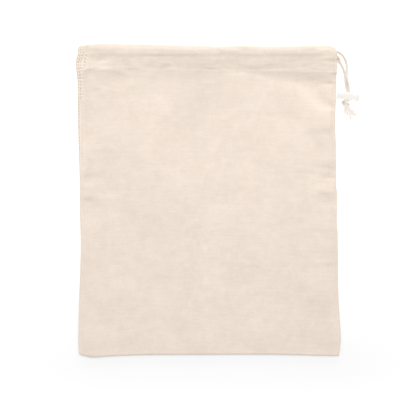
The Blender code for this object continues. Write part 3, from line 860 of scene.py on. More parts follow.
def hem_height(layer, x, depth, top):
    """Height of one layer of the hem, where x is across the bag and depth is on the hem's plan."""
    first, second, valley = (1000 * down / hem_stretch(x, top) for down in (
        along(FRONT_CORD_DEPTH, x), along(BACK_CORD_DEPTH, x), top - VALLEY_LINE))
    valley = np.maximum(valley, first + VALLEY_GAP)
    second = np.maximum(second, valley + SECOND_GAP)
    stations = {
        # depth and height in mm
        "front": ((0, 3.82), (1, 4.06), (2, 4.28), (3, 4.49), (3.8, 4.64), (4.6, 4.74),
                  (np.maximum(first, 5.5), 4.77), (valley - 2.6, 4.68), (valley - 1.6, 4.42),
                  (valley - 0.5, 4.12), (valley + 0.4, 4.02), (valley + 1.6, 4.01), (second, 3.82),
                  (18, 3.52), (20.5, 3.36), (21.7, 3.3), (22.6, 3.19), (23.4, 3.2), (24.2, 3.12)),
        "front hem": ((0, 2.4), (first, 1.9), (valley, 2.7), (second, 3.3), (19.5, 2.8), (22.3, 2.1),
                      (24.2, 2)),
        "back hem": ((0, 0.75), (first, 0.85), (valley, 1.7), (second, 2.85), (19.5, 1.6), (22.3, 0.95),
                     (24.2, 0.8)),
    }[layer]
    depths = np.stack([np.broadcast_to(place, x.shape) for place, _ in stations], axis=1)
    heights = [height for _, height in stations]
    return np.array([along(tuple(zip(places, heights)), 1000 * down)
                     for places, down in zip(depths, depth)]) / 1000


test = hem_height("front", np.zeros(2), in_metres(4.5, 9.0), np.full(2, 0.1478))
print("first roll and valley in mm:", [round(1000 * float(value), 2) for value in test])

# %% [markdown]
# ## Creases and the soft lie of the front
# The front stands a little off the back, because there is air between the two, and it comes down to the
# folds at both sides and at the bottom. On it lie the creases: across the corner under the stopper, in
# from both sides at half height, and the long shallow trough under the hem at the right. A crease is a
# ridge or a trough, and a step is a place where the cloth rises or drops from one level to the next.

# %% Named creases and steps
LOFT = in_metres(
    # distance below the mouth, and height of the middle of the front
    (24.2, 3.12), (27, 2.9), (31, 2.7), (37, 2.6), (50, 2.6), (150, 2.5), (240, 2.2), (292, 1.4),
)
CREASES = (
    # middle x and y, direction in degrees, half length, half width, height; all but the turn in mm
    (118.9, 87.4, -22, 5, 2, 0.4), (110.5, 98, 80, 5, 1.6, -0.2), (117, 112.2, -2, 8, 1.7, -0.42),
    (115.5, 134, -5, 8, 1.8, -0.42), (112, 128.2, 2, 7, 1.3, -0.2), (118, 121, -16, 5, 1.2, 0.28),
    (118.5, 117.6, -5, 6, 1.1, 0.2), (116, 28.6, 2, 9, 1.8, 0.3), (116, 19.4, 2, 9, 2.4, 0.35),
    (11, 142.6, -56, 4.2, 1.5, 0.5), (13.4, 141, -56, 4, 1.5, -0.55), (10.5, 146.5, -62, 3, 1.3, 0.25),
    (-84, -88, -47, 26, 8.5, 0.55), (-62, -112, -40, 20, 7, -0.25), (-114, 13.8, 3, 9, 2.4, 0.3),
    (-35, 125.3, 0, 9, 1.2, 0.15), (1, 125.9, -2, 8, 1.3, -0.22), (-112, 136.6, -14, 4, 1.3, -0.25),
    (-111, 141.6, 4, 7, 2.4, 0.2), (-118, 121.9, 0, 4, 0.9, 0.2), (84, 100, -30, 5, 1.6, -0.12),
)
STEPS = (
    # the same columns; the cloth rises across the line when the height is above 0, and drops below it
    (93, 119.4, -1.8, 31, 3, 0.7), (48, 126.9, -2, 11, 1.8, 0.22), (60, 122.4, -1, 13, 1.4, 0.16),
    (-112.5, 125.2, 12, 6, 1.3, 0.26), (-104, 131.2, 3, 12, 3.6, -0.3), (-92, 123.9, -3, 9, 1.4, 0.16),
    (-81, 120.5, -16, 7, 1.3, 0.2), (-73, 125.8, 0, 6, 1, 0.15), (-75, 129.6, -5, 4, 1.1, 0.15),
    (-43, 128.9, 0, 4, 1.2, 0.14), (30, 122, -9, 9, 2.6, -0.3), (20, 134.6, -10, 7, 2, 0.14),
    (-60, 133, -12, 9, 2.2, 0.12), (-82, 135.4, 14, 7, 2, 0.14), (60, 133, 6, 9, 2.4, 0.12),
    (97, 101, -40, 20, 5.5, -0.62), (113, 98, -52, 8, 2.6, 0.3), (78, 111.5, -3, 24, 5, -0.24),
    (108, 108.5, -8, 12, 3, -0.26), (-117, 24.2, 2, 10, 1.8, 0.3), (-116, 0.8, -10, 9, 1.7, 0.42),
    (115, 34.4, 2, 10, 3, 0.46), (116, 24.2, 0, 9, 2.2, 0.34), (114, 5.4, -3, 11, 2.8, 0.5),
    (113, 68, 0, 11, 3, 0.32), (104, 57, -40, 8, 2.8, 0.22), (113, -29.5, -16, 12, 3, 0.34),
    (112, -50, -6, 8, 2.6, 0.16), (119, -61.8, 0, 6, 2.2, 0.22), (-115, 88, 3, 9, 3, 0.2),
    (-113, 107, 4, 9, 2.6, 0.12), (-57, 94, 60, 16, 6, -0.25), (66, 68, -20, 16, 8, -0.25),
    (-112, 54, 5, 10, 4, -0.16), (28, 28, -10, 14, 6, -0.18), (112, 12, 0, 11, 3.5, -0.2),
    (14, -8, -4, 18, 5, -0.2), (-112, -20, 8, 12, 6, -0.18), (-12, 84, 78, 22, 7, 0.2),
    (96, -92, -30, 22, 9, 0.32), (94, -128.5, -2, 26, 4, 0.22), (-112, -60, 10, 12, 5, 0.18),
    (-108, -103, -38, 16, 4, 0.24), (-72, -12, -58, 20, 4, 0.14), (-36, -8, 50, 16, 4, 0.12),
    (50, -62, -40, 16, 4, 0.14), (34, -46, -48, 12, 4, 0.12), (82, -8, -34, 14, 5, 0.12),
    (-92, 40, 30, 20, 5, 0.1), (-92, 40, -40, 16, 5, 0.1),
)


def scattered(count, box, lengths, widths, heights, lean, seed):
    """Rows for small creases or tones, strewn at random over a box of the cloth."""
    dice = random.Random(seed)
    made = []
    for _ in range(count):
        rise = dice.uniform(*heights) * dice.choice((-1, 1))
        made.append((dice.uniform(box[0], box[1]), dice.uniform(box[2], box[3]), dice.gauss(0, lean),
                     dice.uniform(*lengths), dice.uniform(*widths), rise))
    return tuple(made)


SMALL_CREASES = (
    scattered(60, (-112, 122, 124, 146), (3.0, 9.0), (1.1, 2.0), (0.09, 0.26), 24, 3)
    + scattered(26, (84, 122, 108, 138), (3.0, 8.0), (0.9, 1.6), (0.06, 0.18), 14, 4)
    + scattered(26, (-122, -98, 96, 128), (3.0, 8.0), (0.9, 1.6), (0.04, 0.14), 16, 6)
    + scattered(170, (-118, 118, -140, 120), (6.0, 24.0), (2.2, 5.5), (0.056, 0.138), 42, 7)
    + scattered(22, (-123, -108, -140, 100), (4.0, 9.0), (1.2, 2.6), (0.04, 0.12), 12, 8)
    + scattered(22, (106, 122, -140, 100), (4.0, 9.0), (1.2, 2.6), (0.04, 0.12), 12, 9)
)


def crease_heights(x, y):
    """How much the creases and steps lift or sink each point."""
    height = patches(CREASES + SMALL_CREASES, x, y)
    for forward, across, rise in ovals(STEPS, x, y):
        height += rise * faded(forward ** 2) * np.tanh(across) * faded((across / 4) ** 2)
    return height / 1000


print("creases:", len(CREASES) + len(STEPS), "and small ones:", len(SMALL_CREASES))

# %% [markdown]
# ## The tones of the calico
# Pressed calico is painted paler on its ridges and deeper in its folds: that is painted light and shade,
# because geometry alone shows too little of it under such soft light. The larger tones are placed one by
# one, and a few hundred faint rubs, which differ at random, are strewn between them. Down both sides
# narrow stripes follow the edge: painted light and shade of the seam's edge, ridges and grooves.
# Not every row is a mark on the cloth. Many, the widest and the narrowest above all, are painted light and
# shade, which makes the bag look right under this lamp and from here. The cost is that such shade stays
# where it is when the lamp is moved. Emptying the two tables leaves a plainer cloth that shades truly.

# %% Named tones, rubs and seam stripes
TONES = (
    # the columns of a crease, with a share of brightness in percent in place of the height; many rows are
    # painted light and shade
    (0, 134.5, 0, 400, 9, -2), (62, 58, 0, 74, 52, 3.4), (96, 93, -38, 18, 9, 3), (108, 82, -5, 16, 9, 3),
    (-56, 74, 78, 32, 15, 3.4), (-38, 52, 0, 26, 13, 1.8), (26, 6, 20, 36, 17, 2.4),
    (-114, 50, 88, 26, 9, 2.6), (-82, 97, 0, 14, 14, 2), (-12, 120, 4, 18, 9, -3),
    (-10, 92, 82, 18, 9, -3.6), (29, 119, -6, 9, 6, 3.6), (-88, 12, -60, 24, 9, -2.6),
    (-106, -96, -50, 26, 9, -2.8), (94, -98, -28, 24, 13, -4.2), (112, -46, 10, 12, 11, -1.6),
    (113, -140, 0, 18, 8, -2.8), (28, -119, 0, 26, 10, 3.2), (2, -66, 76, 40, 16, 2.4),
    (-30, -84, 60, 22, 10, 1.8), (-74, -72, -50, 28, 9, 2), (-113, -18, 90, 11, 9, 2.2),
    (-122.6, 85, 90, 22, 0.7, 10), (-123.8, 86, 90, 16, 0.7, -8), (-122.6, 45, 90, 24, 0.7, 6),
    (-121.5, 45, 90, 26, 0.6, -3), (-124.4, 86, 90, 16, 0.4, 5), (-114, 3.2, 3, 10, 2.2, -9),
    (-120.5, -4.6, 0, 3, 1.4, -5), (-109, 13, 0, 6, 1.6, 3.5), (116, 30.8, 0, 7, 1.3, -6),
    (119, 26.8, 0, 5, 1.2, 5), (110.5, 21.8, 3, 10, 1.6, -6), (121, 22.8, 0, 3, 1.1, -6),
    (121, 19.9, 0, 3, 1.3, 6), (116, 16.5, 0, 5, 1.5, 3), (101.5, 11, 0, 5, 5, 5),
    (110.5, 7, 0, 3, 1.2, -4), (103, -0.5, 0, 5, 2, 4), (112.5, -4, 0, 3, 1.4, -3.5),
    (121, -7, 0, 3, 1.8, 5), (92, 121.4, 0, 5, 1.1, -6), (115, 113, 0, 5, 1.1, -4),
    (102, 109, -3, 7, 1.5, -6.5), (107.5, 107.2, 0, 4, 1.1, -4), (116, 110.8, 0, 2.5, 1.1, -5),
    (117, 98, 0, 7, 2.2, 4), (110, 90, 0, 3, 2.2, -4.5), (119, 91, 0, 3.5, 1.2, -3.5),
    (118, 87.1, 0, 1.8, 1.1, 7), (121.6, 115, 0, 1.6, 1.1, 5), (9, 100, 0, 15, 10, -2.5),
    (-90, 40, 0, 10, 9, 2.5), (88, 3, 0, 9, 9, 2.2), (-113, 90, 90, 18, 8, -2.2), (70, 80, 0, 10, 8, 1.5),
    (50, 100, 0, 9, 8, 1.5), (97, 95, -32, 10, 6, 2), (117, 93.5, -52, 7, 2.6, -2.8),
    (118.5, 27, 0, 7, 2.6, -2.2), (115, 19, 0, 8, 2.4, 2.2), (116, 5, 0, 9, 3, -1.8),
    (88, 91.5, -40, 10, 6, 3), (96.5, 87.5, -30, 7, 3, 3), (118, 86.7, 0, 3, 1.2, 4),
    (99, 99.5, -42, 19, 4.2, 3), (115, 88.2, -8, 8, 2.4, 4), (0, 143.4, 0, 400, 1.5, -3),
    (66, 127.4, 0, 32, 1.8, -6), (72, 124.5, 0, 27, 0.9, 5), (-76, 125.9, 0, 14, 1.6, -4.5),
    (-46, 128.2, 0, 12, 1.2, -4), (-46, 138.8, 0, 14, 1, -5), (-14, 127.4, 0, 10, 1.2, -4),
    (117, 131.2, 0, 6, 1.8, 4), (117, 113.2, 0, 5, 0.9, -8), (117, 110.2, 0, 5, 1.5, 9),
    (117, 116.2, 0, 5, 0.9, 5), (-103, 144.5, 0, 12, 1.6, -4), (-103, 132.4, 0, 12, 1.5, 4),
    (-118.5, 130.5, 90, 4.5, 3.2, -6), (9.2, 143, -56, 4.5, 1.2, 6), (12.2, 142.6, -56, 4.5, 1.2, -7),
    (-114, 143.5, 75, 5, 2.6, -5), (-110.5, 145.8, -28, 9, 3.2, -7), (-109, 140.2, 0, 8, 2, 8),
    (-103, 133, 0, 13, 2.4, 5), (-105, 128.2, 0, 12, 2, 7), (-103, 125.9, 0, 7, 1.5, 5),
    (-91, 134.2, 0, 9, 2.6, 4), (-76, 141, 10, 9, 4.5, 4), (-72, 134.4, 0, 4, 2.2, 5),
    (-72, 137.2, 0, 5, 1.6, -4), (-60, 132.8, 12, 9, 2.2, 6), (-52, 139.4, 0, 10, 1.6, -4),
    (-56, 129, 0, 5, 1.6, -4), (-40, 129.2, 0, 4, 1.8, -5), (-12, 129.8, -6, 15, 2.4, -4),
    (3, 126.6, -2, 9, 1.8, -9), (-22, 123.6, 0, 7, 1.6, 6), (4, 140, 86, 8, 6, 6),
    (29, 139.6, 2, 20, 1.6, 4), (24, 122, -6, 13, 4.2, 4), (24, 136.8, 0, 4, 1.4, 4), (41, 136, 0, 5, 2, 5),
    (60, 129.2, 2, 17, 1.8, -6), (47, 124.8, -3, 10, 2.6, -5), (55, 121, 0, 12, 1.8, -4),
    (89, 126.2, 0, 6, 1.5, 4), (100, 124.2, -1, 18, 1.2, 6), (118, 139.6, 0, 9, 2.2, 10),
    (113, 136.8, 0, 7, 2, 7), (121, 134.2, 0, 4, 1.5, -8), (120, 121.4, 0, 4, 1.8, 7),
    (-76, 113, 0, 9, 5, 4), (-112, 112.8, 0, 8, 2.6, -5), (-52, 117, -8, 9, 2.2, -5),
    (7, 110.5, 0, 8, 3, -4), (25, 108, 0, 7, 3.4, 4), (104, 91.5, -30, 9, 4, 5), (114, 88, -6, 8, 2.6, 6),
    (116, 98.6, 0, 6, 2.4, 3), (101, 64.8, 0, 6, 2.6, -5), (105, 50, -24, 9, 2.6, -4),
    (118, 31.2, 0, 6, 2, -7), (112, 17, 0, 10, 2.2, 4), (116, -5, 0, 8, 3, 3), (-12, 20, 0, 24, 20, 2.2),
    (112, 140, 0, 12, 6, 2.6), (-112, -140, 0, 12, 9, -1.6), (96, 16, 0, 18, 14, 1.6),
)
RUBS = scattered(300, (-121, 121, -147, 122), (2.5, 13.0), (1.0, 3.4), (0.8, 2.6), 45, 12)
SEAM_SHOWN = {"left": (0.01, 0.10), "right": (-0.02, 0.0)}
SEAM_FADE = 0.05
SEAM_TONES = (
    # distance in from the left or the right edge and half width in mm, share of brightness in percent;
    # painted light and shade of the seam
    ("left", 0.5, 0.7, -10), ("left", 1.75, 0.5, 9), ("left", 2.9, 0.5, -4.5), ("left", 5.2, 1.2, 1.5),
    ("left", 8.2, 0.8, -2.5), ("right", 0.4, 0.5, -2), ("right", 1.6, 0.8, 3.5), ("right", 3.4, 0.7, -2),
    ("right", 4.8, 0.7, 2), ("right", 6.4, 0.8, -1.5),
)


def cloth_tone(x, y):
    """How much lighter or darker than the rest the cloth is at each point, in percent, painted light and
    shade included.
    """
    tone = patches(TONES + RUBS, x, y)
    for side, place, spread, share in SEAM_TONES:
        inward = x - along(LEFT_EDGE, y) if side == "left" else along(RIGHT_EDGE, y) - x
        start, least = SEAM_SHOWN[side]
        shown = between(least, 1.0, eased((y - start) / SEAM_FADE))
        tone += share * shown * faded(((1000 * inward - place) / spread) ** 2)
    return tone


print("tones:", len(TONES), "rubs:", len(RUBS), "seam stripes:", len(SEAM_TONES))

# %% [markdown]
# ## Laying out the strip
# Every row of the strip now gets its points. The outline gives their places, and the height is built from
# what the real cloth does there: the air inside the bag, the rolls, the creases, slight waves that no
# iron takes out, and the seam inside the right side. At the folds each layer turns over in a small round,
# so that the front and the back meet without an edge.

# %% Every point of the strip
WAVES = (
    # how many waves to the metre across and up the bag, where the pattern starts, and height in mm
    (22, 26, 3.1, 0.24), (60, 85, 8.7, 0.09), (150, 240, 1.9, 0.035),
)
SEAM_RIDGES = (
    # distance in from the right edge, half width and height in mm
    (5.0, 0.9, 0.22), (2.9, 0.8, -0.30), (1.4, 0.6, 0.14),
)
SEAM_START, SEAM_START_RAMP = 0.020, 0.02
SEAM_END, SEAM_END_RAMP = 0.106, 0.006
MOUTH_HEIGHT = 0.0032
MOUTH_LIFT, MOUTH_OPENING = 0.18, 0.014
SIDE_MARGIN, CHANNEL_RAMP = 0.0072, 0.0070
BODY_BLEND, BODY_BLEND_RAMP = 0.0120, 0.0122
SIDE_LIFT, SOFT_SIDE = 0.30, 0.0085
BOTTOM_LIFT, SOFT_BOTTOM = 0.55, 0.0150
HEM_WAVE_SHARE = 0.4
ROLL_RADIUS = 0.0007
HEM_EDGE_RADIUS = 0.0008
FRONT_RADIUS = 0.0006
BACK_RADIUS = 0.0005


def lie_of_cloth(x, y):
    """Slight waves of pressed calico, larger ones first."""
    return np.array([sum(noise.noise((one * across, other * up, start)) * height
                         for across, up, start, height in WAVES) for one, other in zip(x, y)]) / 1000


def seam_ridges(right, y):
    """The seam allowance inside the right side shows as two ridges with a groove between them."""
    shown = eased((y - SEAM_START) / SEAM_START_RAMP) * eased((SEAM_END - y) / SEAM_END_RAMP)
    return shown * sum(height * np.exp(-((1000 * right - place) / spread) ** 2)
                       for place, spread, height in SEAM_RIDGES) / 1000


def quarter_round(distance, radius):
    """Rise from 0 at an edge to 1 inside it, as a quarter of a circle does."""
    return np.sqrt(np.maximum(0.0, 1 - (1 - np.clip(distance / radius, 0, 1)) ** 2))


def hem_layer_height(layer, x, y, depth, top, left):
    """Height of a row of the front or of a turned-in layer, between the mouth and the end of the hem."""
    beside = between(SIDE_LIFT, 1.0, eased(left / SOFT_SIDE))
    flat = BACK_HEIGHT + LAYER * {"front": 1.6, "front hem": 1.3, "back hem": 1.0}[layer]
    standing = hem_height(layer, x, depth, top)
    tall = between(flat, standing, eased((left - SIDE_MARGIN) / CHANNEL_RAMP))
    if layer == "back hem":
        return between(FOLD_HEIGHT, tall, quarter_round(depth, HEM_EDGE_RADIUS))
    if layer == "front":
        like_body = between(LIFTED_FOLD, standing, beside)
        tall = between(tall, like_body, eased((depth - BODY_BLEND) / BODY_BLEND_RAMP))
    opening = between(MOUTH_LIFT, 1.0, eased((left - CLOSED_CORNER) / MOUTH_OPENING))
    opening = np.where(np.arange(len(x)) < hem_start, 0.0, opening)
    mouth = between(FOLD_HEIGHT, MOUTH_HEIGHT, opening)
    rolled = between(mouth, tall, quarter_round(depth, ROLL_RADIUS))
    if layer == "front hem":
        return rolled
    height = rolled + crease_heights(x, y) + HEM_WAVE_SHARE * lie_of_cloth(x, y)
    return between(FOLD_HEIGHT, height, quarter_round(left, FRONT_RADIUS))


def layer_height(layer, in_hem, x, y, depth, top, bottom, left, right):
    """Height of a whole row of one layer."""
    if layer == "fold":
        return np.full_like(x, FOLD_HEIGHT)
    if layer == "back":
        closed = quarter_round(left, BACK_RADIUS)
        if in_hem:
            closed *= quarter_round(depth, FRONT_RADIUS)
        else:
            closed *= quarter_round(right, BACK_RADIUS) * quarter_round(y - bottom, BACK_RADIUS)
        return between(FOLD_HEIGHT, BACK_HEIGHT, closed)
    if in_hem:
        return hem_layer_height(layer, x, y, depth, top, left)
    side = np.minimum(left, right)
    soft = (between(SIDE_LIFT, 1.0, eased(side / SOFT_SIDE))
            * between(BOTTOM_LIFT, 1.0, eased((y - bottom) / SOFT_BOTTOM)))
    lifted = along(LOFT, depth) + crease_heights(x, y) + lie_of_cloth(x, y) + seam_ridges(right, y)
    height = between(LIFTED_FOLD, np.maximum(lifted, LIFTED_FOLD), soft)
    closed = quarter_round(side, FRONT_RADIUS) * quarter_round(y - bottom, FRONT_RADIUS)
    return between(FOLD_HEIGHT, height, closed)


def strip_points():
    """The middle of the cloth: one point for each row and column of the strip."""
    guess = columns * BAG_WIDTH - BAG_WIDTH / 2
    top, bottom = along(TOP_EDGE, guess), along(BOTTOM_EDGE, guess)
    stretch = hem_stretch(guess, top)
    made = []
    for layer, kind, value in rows:
        if kind == "depth":
            y = top - value * stretch
        elif kind == "rise":
            y = bottom + value
        else:
            y = between(top - HEM_DEPTH * stretch, bottom + BOTTOM_RISES[-1], value)
        left_edge, right_edge = along(LEFT_EDGE, y), along(RIGHT_EDGE, y)
        x = between(left_edge, right_edge, columns)
        depth = np.full_like(x, value) if kind == "depth" else top - y - HEM_DEPTH * (stretch - 1)
        z = layer_height(layer, kind == "depth", x, y, depth, top, bottom, x - left_edge, right_edge - x)
        made.append(np.stack([x, y, z], axis=1))
    return np.array(made)


points = strip_points()
print("front height range in mm:", round(1000 * float(points[..., 2].min()), 2),
      round(1000 * float(points[..., 2].max()), 2))

# %% [markdown]
# ## From a strip to a bag
# The grid gets its faces and a map of the flat cut, in metres, which the weave and the stitches read. The
# hems stop short of the closed left corner. Then the sides are merged, the normals made to agree, and
# Solidify gives the calico its thickness of half a millimetre.

# %% Build, close and thicken the bag
def build_bag(look):
    """The cloth as one closed bag with open hems."""
    count = len(columns)
    lengths = distance_along(points[:, count // 2])
    in_hem = [layer.endswith("hem") for layer, _, _ in rows]
    faces, maps = [], []
    for row in range(len(rows) - 1):
        for column in range(hem_start if in_hem[row] or in_hem[row + 1] else 0, count - 1):
            corners = ((row, column), (row, column + 1), (row + 1, column + 1), (row + 1, column))
            faces.append([down * count + across for down, across in corners])
            maps += [(columns[across] * BAG_WIDTH, lengths[down]) for down, across in corners]
    mesh = bpy.data.meshes.new("bag_cloth_sewn")
    mesh.from_pydata(points.reshape(-1, 3).tolist(), [], faces)
    mesh.uv_layers.new(name="cut").data.foreach_set("uv", np.ravel(maps))
    shape = bmesh.new()
    shape.from_mesh(mesh)
    loose = [corner for corner in shape.verts if not corner.link_faces]
    bmesh.ops.delete(shape, geom=loose, context="VERTS")
    bmesh.ops.remove_doubles(shape, verts=shape.verts, dist=MERGE_DISTANCE)
    bmesh.ops.recalc_face_normals(shape, faces=shape.faces)
    shape.to_mesh(mesh)
    shape.free()
    mesh.materials.append(look)
    mesh.shade_smooth()
    made = bpy.data.objects.new("bag_cloth_sewn", mesh)
    scene.collection.objects.link(made)
    choose_only(made)
    thickness = made.modifiers.new("calico", "SOLIDIFY")
    thickness.thickness = CLOTH
    thickness.offset = 0.0
    thickness.use_even_offset = False
    bpy.ops.object.modifier_apply(modifier=thickness.name)
    # the cloth's tones, much of them painted light and shade, are stored on the mesh
    keep_tone(made.data, cloth_tone(*corner_places(made.data)))
    return made


strip_length = distance_along(points[:, len(columns) // 2])[-1]
print("length of the strip in mm:", round(1000 * float(strip_length)))

# %% [markdown]
# ## The calico's finish
# Unbleached calico is a plain weave of uneven yarn: a fine over-and-under grid, thicker yarns that show
# as faint streaks along the cloth, cloudy patches a few centimetres wide, and here and there a dark fleck
# of cotton seed. A flat beige would lose all of it. Each of these is one pattern in the material, at its
# own size. The weave reads the map of the flat cut, so it follows the cloth round every fold. Where the
# needle of the overlock went through, down the left side, the material also has columns of small dark
# holes, one hole between one stitch and the next: painted shade in holes that the mesh doesn't have. The
# tone of the mesh, much of it painted light and shade, then scales the colour.

# %% Woven calico
CALICO_LIGHT = (0.905, 0.788, 0.690)
CALICO_DEEP = (0.803, 0.690, 0.592)
THREAD_PITCH = 0.00042
calico, calico_tree, calico_shader = new_material(
    "natural_calico", Roughness=0.96, Sheen_Weight=0.12, Sheen_Roughness=0.55, Specular_IOR_Level=0.15)
place = object_place(calico_tree)
cut = node(calico_tree, "UVMap", uv_map="cut").outputs["UV"]
cut_across, cut_along, _ = node(calico_tree, "SeparateXYZ", cut).outputs
warp, weft = (maths("SINE", maths("MULTIPLY", run, math.pi / THREAD_PITCH))
              for run in (cut_across, cut_along))
weft_slubs = streaks(cut, (130.0, 1900.0, 1.0), 3.0, 0.6)
warp_slubs = streaks(cut, (1700.0, 90.0, 1.0))
YARN_SHARES = (
    # pattern and how much of the tone it makes
    (weft_slubs, 0.24), (warp_slubs, 0.14), (streaks(cut, (40.0, 420.0, 1.0)), 0.13),
    (noise_at(place, 26.0, 3.0, 0.55), 0.20), (noise_at(place, 150.0, 3.0, 0.6), 0.20),
    (noise_at(place, 620.0, 2.0, 0.6), 0.12),
)
yarn_tone = 0.0
for pattern, share in YARN_SHARES:
    yarn_tone = maths("MULTIPLY_ADD", pattern, share, yarn_tone)
colour = ramp(yarn_tone, (0.40, CALICO_DEEP), (0.60, CALICO_LIGHT))
woven = bump(maths("MULTIPLY", warp, weft), 0.00006, 0.8)
slubs = maths("MULTIPLY_ADD", warp_slubs, 0.5, weft_slubs)
feed(calico_shader.inputs["Normal"], bump(slubs, 0.00014, 0.6, woven))
print("material:", calico.name)

# %% Seed flecks and needle holes
SEED_BROWN = (0.42, 0.30, 0.19)
FLECK_SCALE, FLECK_RADIUS, FLECK_RARITY, FLECK_SHARE = 62.0, 0.026, 0.80, 0.55
STITCH_PITCH = 0.00312
# painted shade: the dark inside each needle hole
HOLE_SHADE_BROWN = (0.44, 0.32, 0.22)
HOLE_COLUMNS = (
    # distance in from the left edge, and the lowest and highest place of the row of holes
    (0.0028, 0.0980, 0.1460), (0.0052, 0.1260, 0.1450), (0.0088, 0.1270, 0.1410), (0.0010, 0.0480, 0.0965),
)
HOLE_SIZE = 0.00070
HOLE_DEPTH = 1.6
HOLE_SHARE = 0.80
flecks = node(calico_tree, "TexVoronoi", Vector=place, Scale=FLECK_SCALE)
fleck_kind = node(calico_tree, "SeparateColor", flecks.outputs["Color"]).outputs[0]
fleck = maths("MULTIPLY", maths("LESS_THAN", flecks.outputs["Distance"], FLECK_RADIUS),
              maths("GREATER_THAN", fleck_kind, FLECK_RARITY))
colour = mixed_colour(maths("MULTIPLY", fleck, FLECK_SHARE), colour, SEED_BROWN)
up_bag = node(calico_tree, "SeparateXYZ", place).outputs["Y"]
part = maths("SUBTRACT", maths("FRACT", maths("DIVIDE", up_bag, STITCH_PITCH)), 0.5)
down = maths("MULTIPLY", part, STITCH_PITCH)
holes = 0.0
for column, low, high in HOLE_COLUMNS:
    beside = maths("SUBTRACT", cut_across, column)
    apart = maths("SQRT", maths("MULTIPLY_ADD", beside, beside, maths("MULTIPLY", down, down)))
    dark = maths("MAXIMUM", maths("SUBTRACT", 1.0, maths("DIVIDE", apart, HOLE_SIZE)), 0.0)
    shown = maths("MULTIPLY", maths("GREATER_THAN", up_bag, low), maths("LESS_THAN", up_bag, high))
    holes = maths("MAXIMUM", maths("MULTIPLY", dark, shown), holes)
uneven = maths("MULTIPLY_ADD", noise_at(place, 260.0, 1.0), 2.4, -0.35)
holes = maths("MINIMUM", maths("MULTIPLY", maths("MULTIPLY", holes, HOLE_DEPTH), uneven), 1.0)
colour = mixed_colour(maths("MULTIPLY", holes, HOLE_SHARE), colour, HOLE_SHADE_BROWN)
# the stored tone, much of it painted light and shade, scales the colour
toned = node(calico_tree, "VectorMath", colour, operation="SCALE", Scale=stored_tone(calico_tree))
feed(calico_shader.inputs["Base Color"], toned.outputs[0])
bag = build_bag(calico)
print("bag cloth triangles:", sum(len(face.vertices) - 2 for face in bag.data.polygons))

# %% [markdown]
# ## The stitches
# The side seam is overlocked. Along most of it a white chain of thread runs a few millimetres in from
# the left edge, and loops go from it round the edge. Near the mouth the seam has more layers and thicker
# thread, and its stitches lie across it like the steps of a ladder. The hem is held by one straight row.
# A stitch could be a bump in the material, but real thread stands up and casts its own small shadow. One
# stitch is modelled as a short length of thread whose ends dive into the cloth, and it is copied.

# %% Model one stitch
STITCH_RINGS = (
    # share of the length, share of the radius, and height in radii, from one end to the other
    (0.0, 0.45, -1.1), (0.10, 0.80, -0.45), (0.30, 1.0, 0.0), (0.70, 1.0, 0.0), (0.90, 0.80, -0.45),
    (1.0, 0.45, -1.1),
)
STITCH_SIDES = 6
STEEPEST = 0.3


def one_stitch(name, long, radius):
    """A short thread along X, thinner and lower at both ends."""
    bpy.ops.mesh.primitive_circle_add(vertices=STITCH_SIDES, radius=radius, fill_type="NGON",
                                      rotation=(0.0, math.pi / 2, 0.0), location=NOTHING)
    made = bpy.context.object
    made.name = name
    bpy.ops.object.transform_apply(location=True, rotation=True, scale=True)
    bpy.ops.object.mode_set(mode="EDIT")
    bpy.ops.mesh.select_all(action="SELECT")
    _, size, height = STITCH_RINGS[0]
    bpy.ops.transform.resize(value=(1.0, size, size))
    bpy.ops.transform.translate(value=(-long / 2, 0.0, height * radius))
    for before, after in zip(STITCH_RINGS, STITCH_RINGS[1:]):
        step = Vector(((after[0] - before[0]) * long, 0.0, (after[2] - before[2]) * radius))
        grow = after[1] / before[1]
        bpy.ops.mesh.extrude_region_move(TRANSFORM_OT_translate={"value": step})
        bpy.ops.transform.resize(value=(1.0, grow, grow))
    bpy.ops.mesh.select_all(action="SELECT")
    bpy.ops.mesh.normals_make_consistent(inside=False)
    bpy.ops.object.mode_set(mode="OBJECT")
    bpy.ops.object.shade_smooth()
    return made


def sew(name, stitch, long, radius, places, look):
    """Copy a stitch to each (x, y, direction), on the upper side of the cloth, and join the copies."""
    model = one_stitch(stitch, long, radius)
    copies = []
    for x, y, turn in places:
        hit, spot, facing, _ = bag.ray_cast((x, y, 0.05), (0.0, 0.0, -1.0))
        if not hit or facing.z < STEEPEST:
            continue
        copy = model.copy()
        copy.data = model.data.copy()
        tilt = Vector((0, 0, 1)).rotation_difference(facing).to_matrix().to_4x4()
        copy.data.transform(Matrix.Translation((x, y, spot.z)) @ tilt @ Matrix.Rotation(turn, 4, "Z"))
        scene.collection.objects.link(copy)
        copies.append(copy)
    choose_only(copies[0])
    for copy in copies:
        copy.select_set(True)
    bpy.ops.object.join()
    made = bpy.context.object
    made.name = made.data.name = name
    made.data.materials.clear()
    made.data.materials.append(look)
    bpy.data.objects.remove(model)
    print(name, "faces:", len(made.data.polygons))
    return made


def spun_thread(name, deep, light):
    """Sewing thread with a fine uneven twist."""
    made, tree, shader = new_material(name, Roughness=0.85, Sheen_Weight=0.2, Specular_IOR_Level=0.3)
    twist = noise_at(object_place(tree), 5200.0, 1.0)
    feed(shader.inputs["Base Color"], ramp(twist, (0.3, deep), (0.6, light)))
    return made


thread = spun_thread("sewing_thread", (0.82, 0.71, 0.59), (0.90, 0.81, 0.70))
white_thread = spun_thread("overlock_thread", (0.84, 0.74, 0.65), (0.93, 0.85, 0.78))
print("materials:", thread.name, white_thread.name)

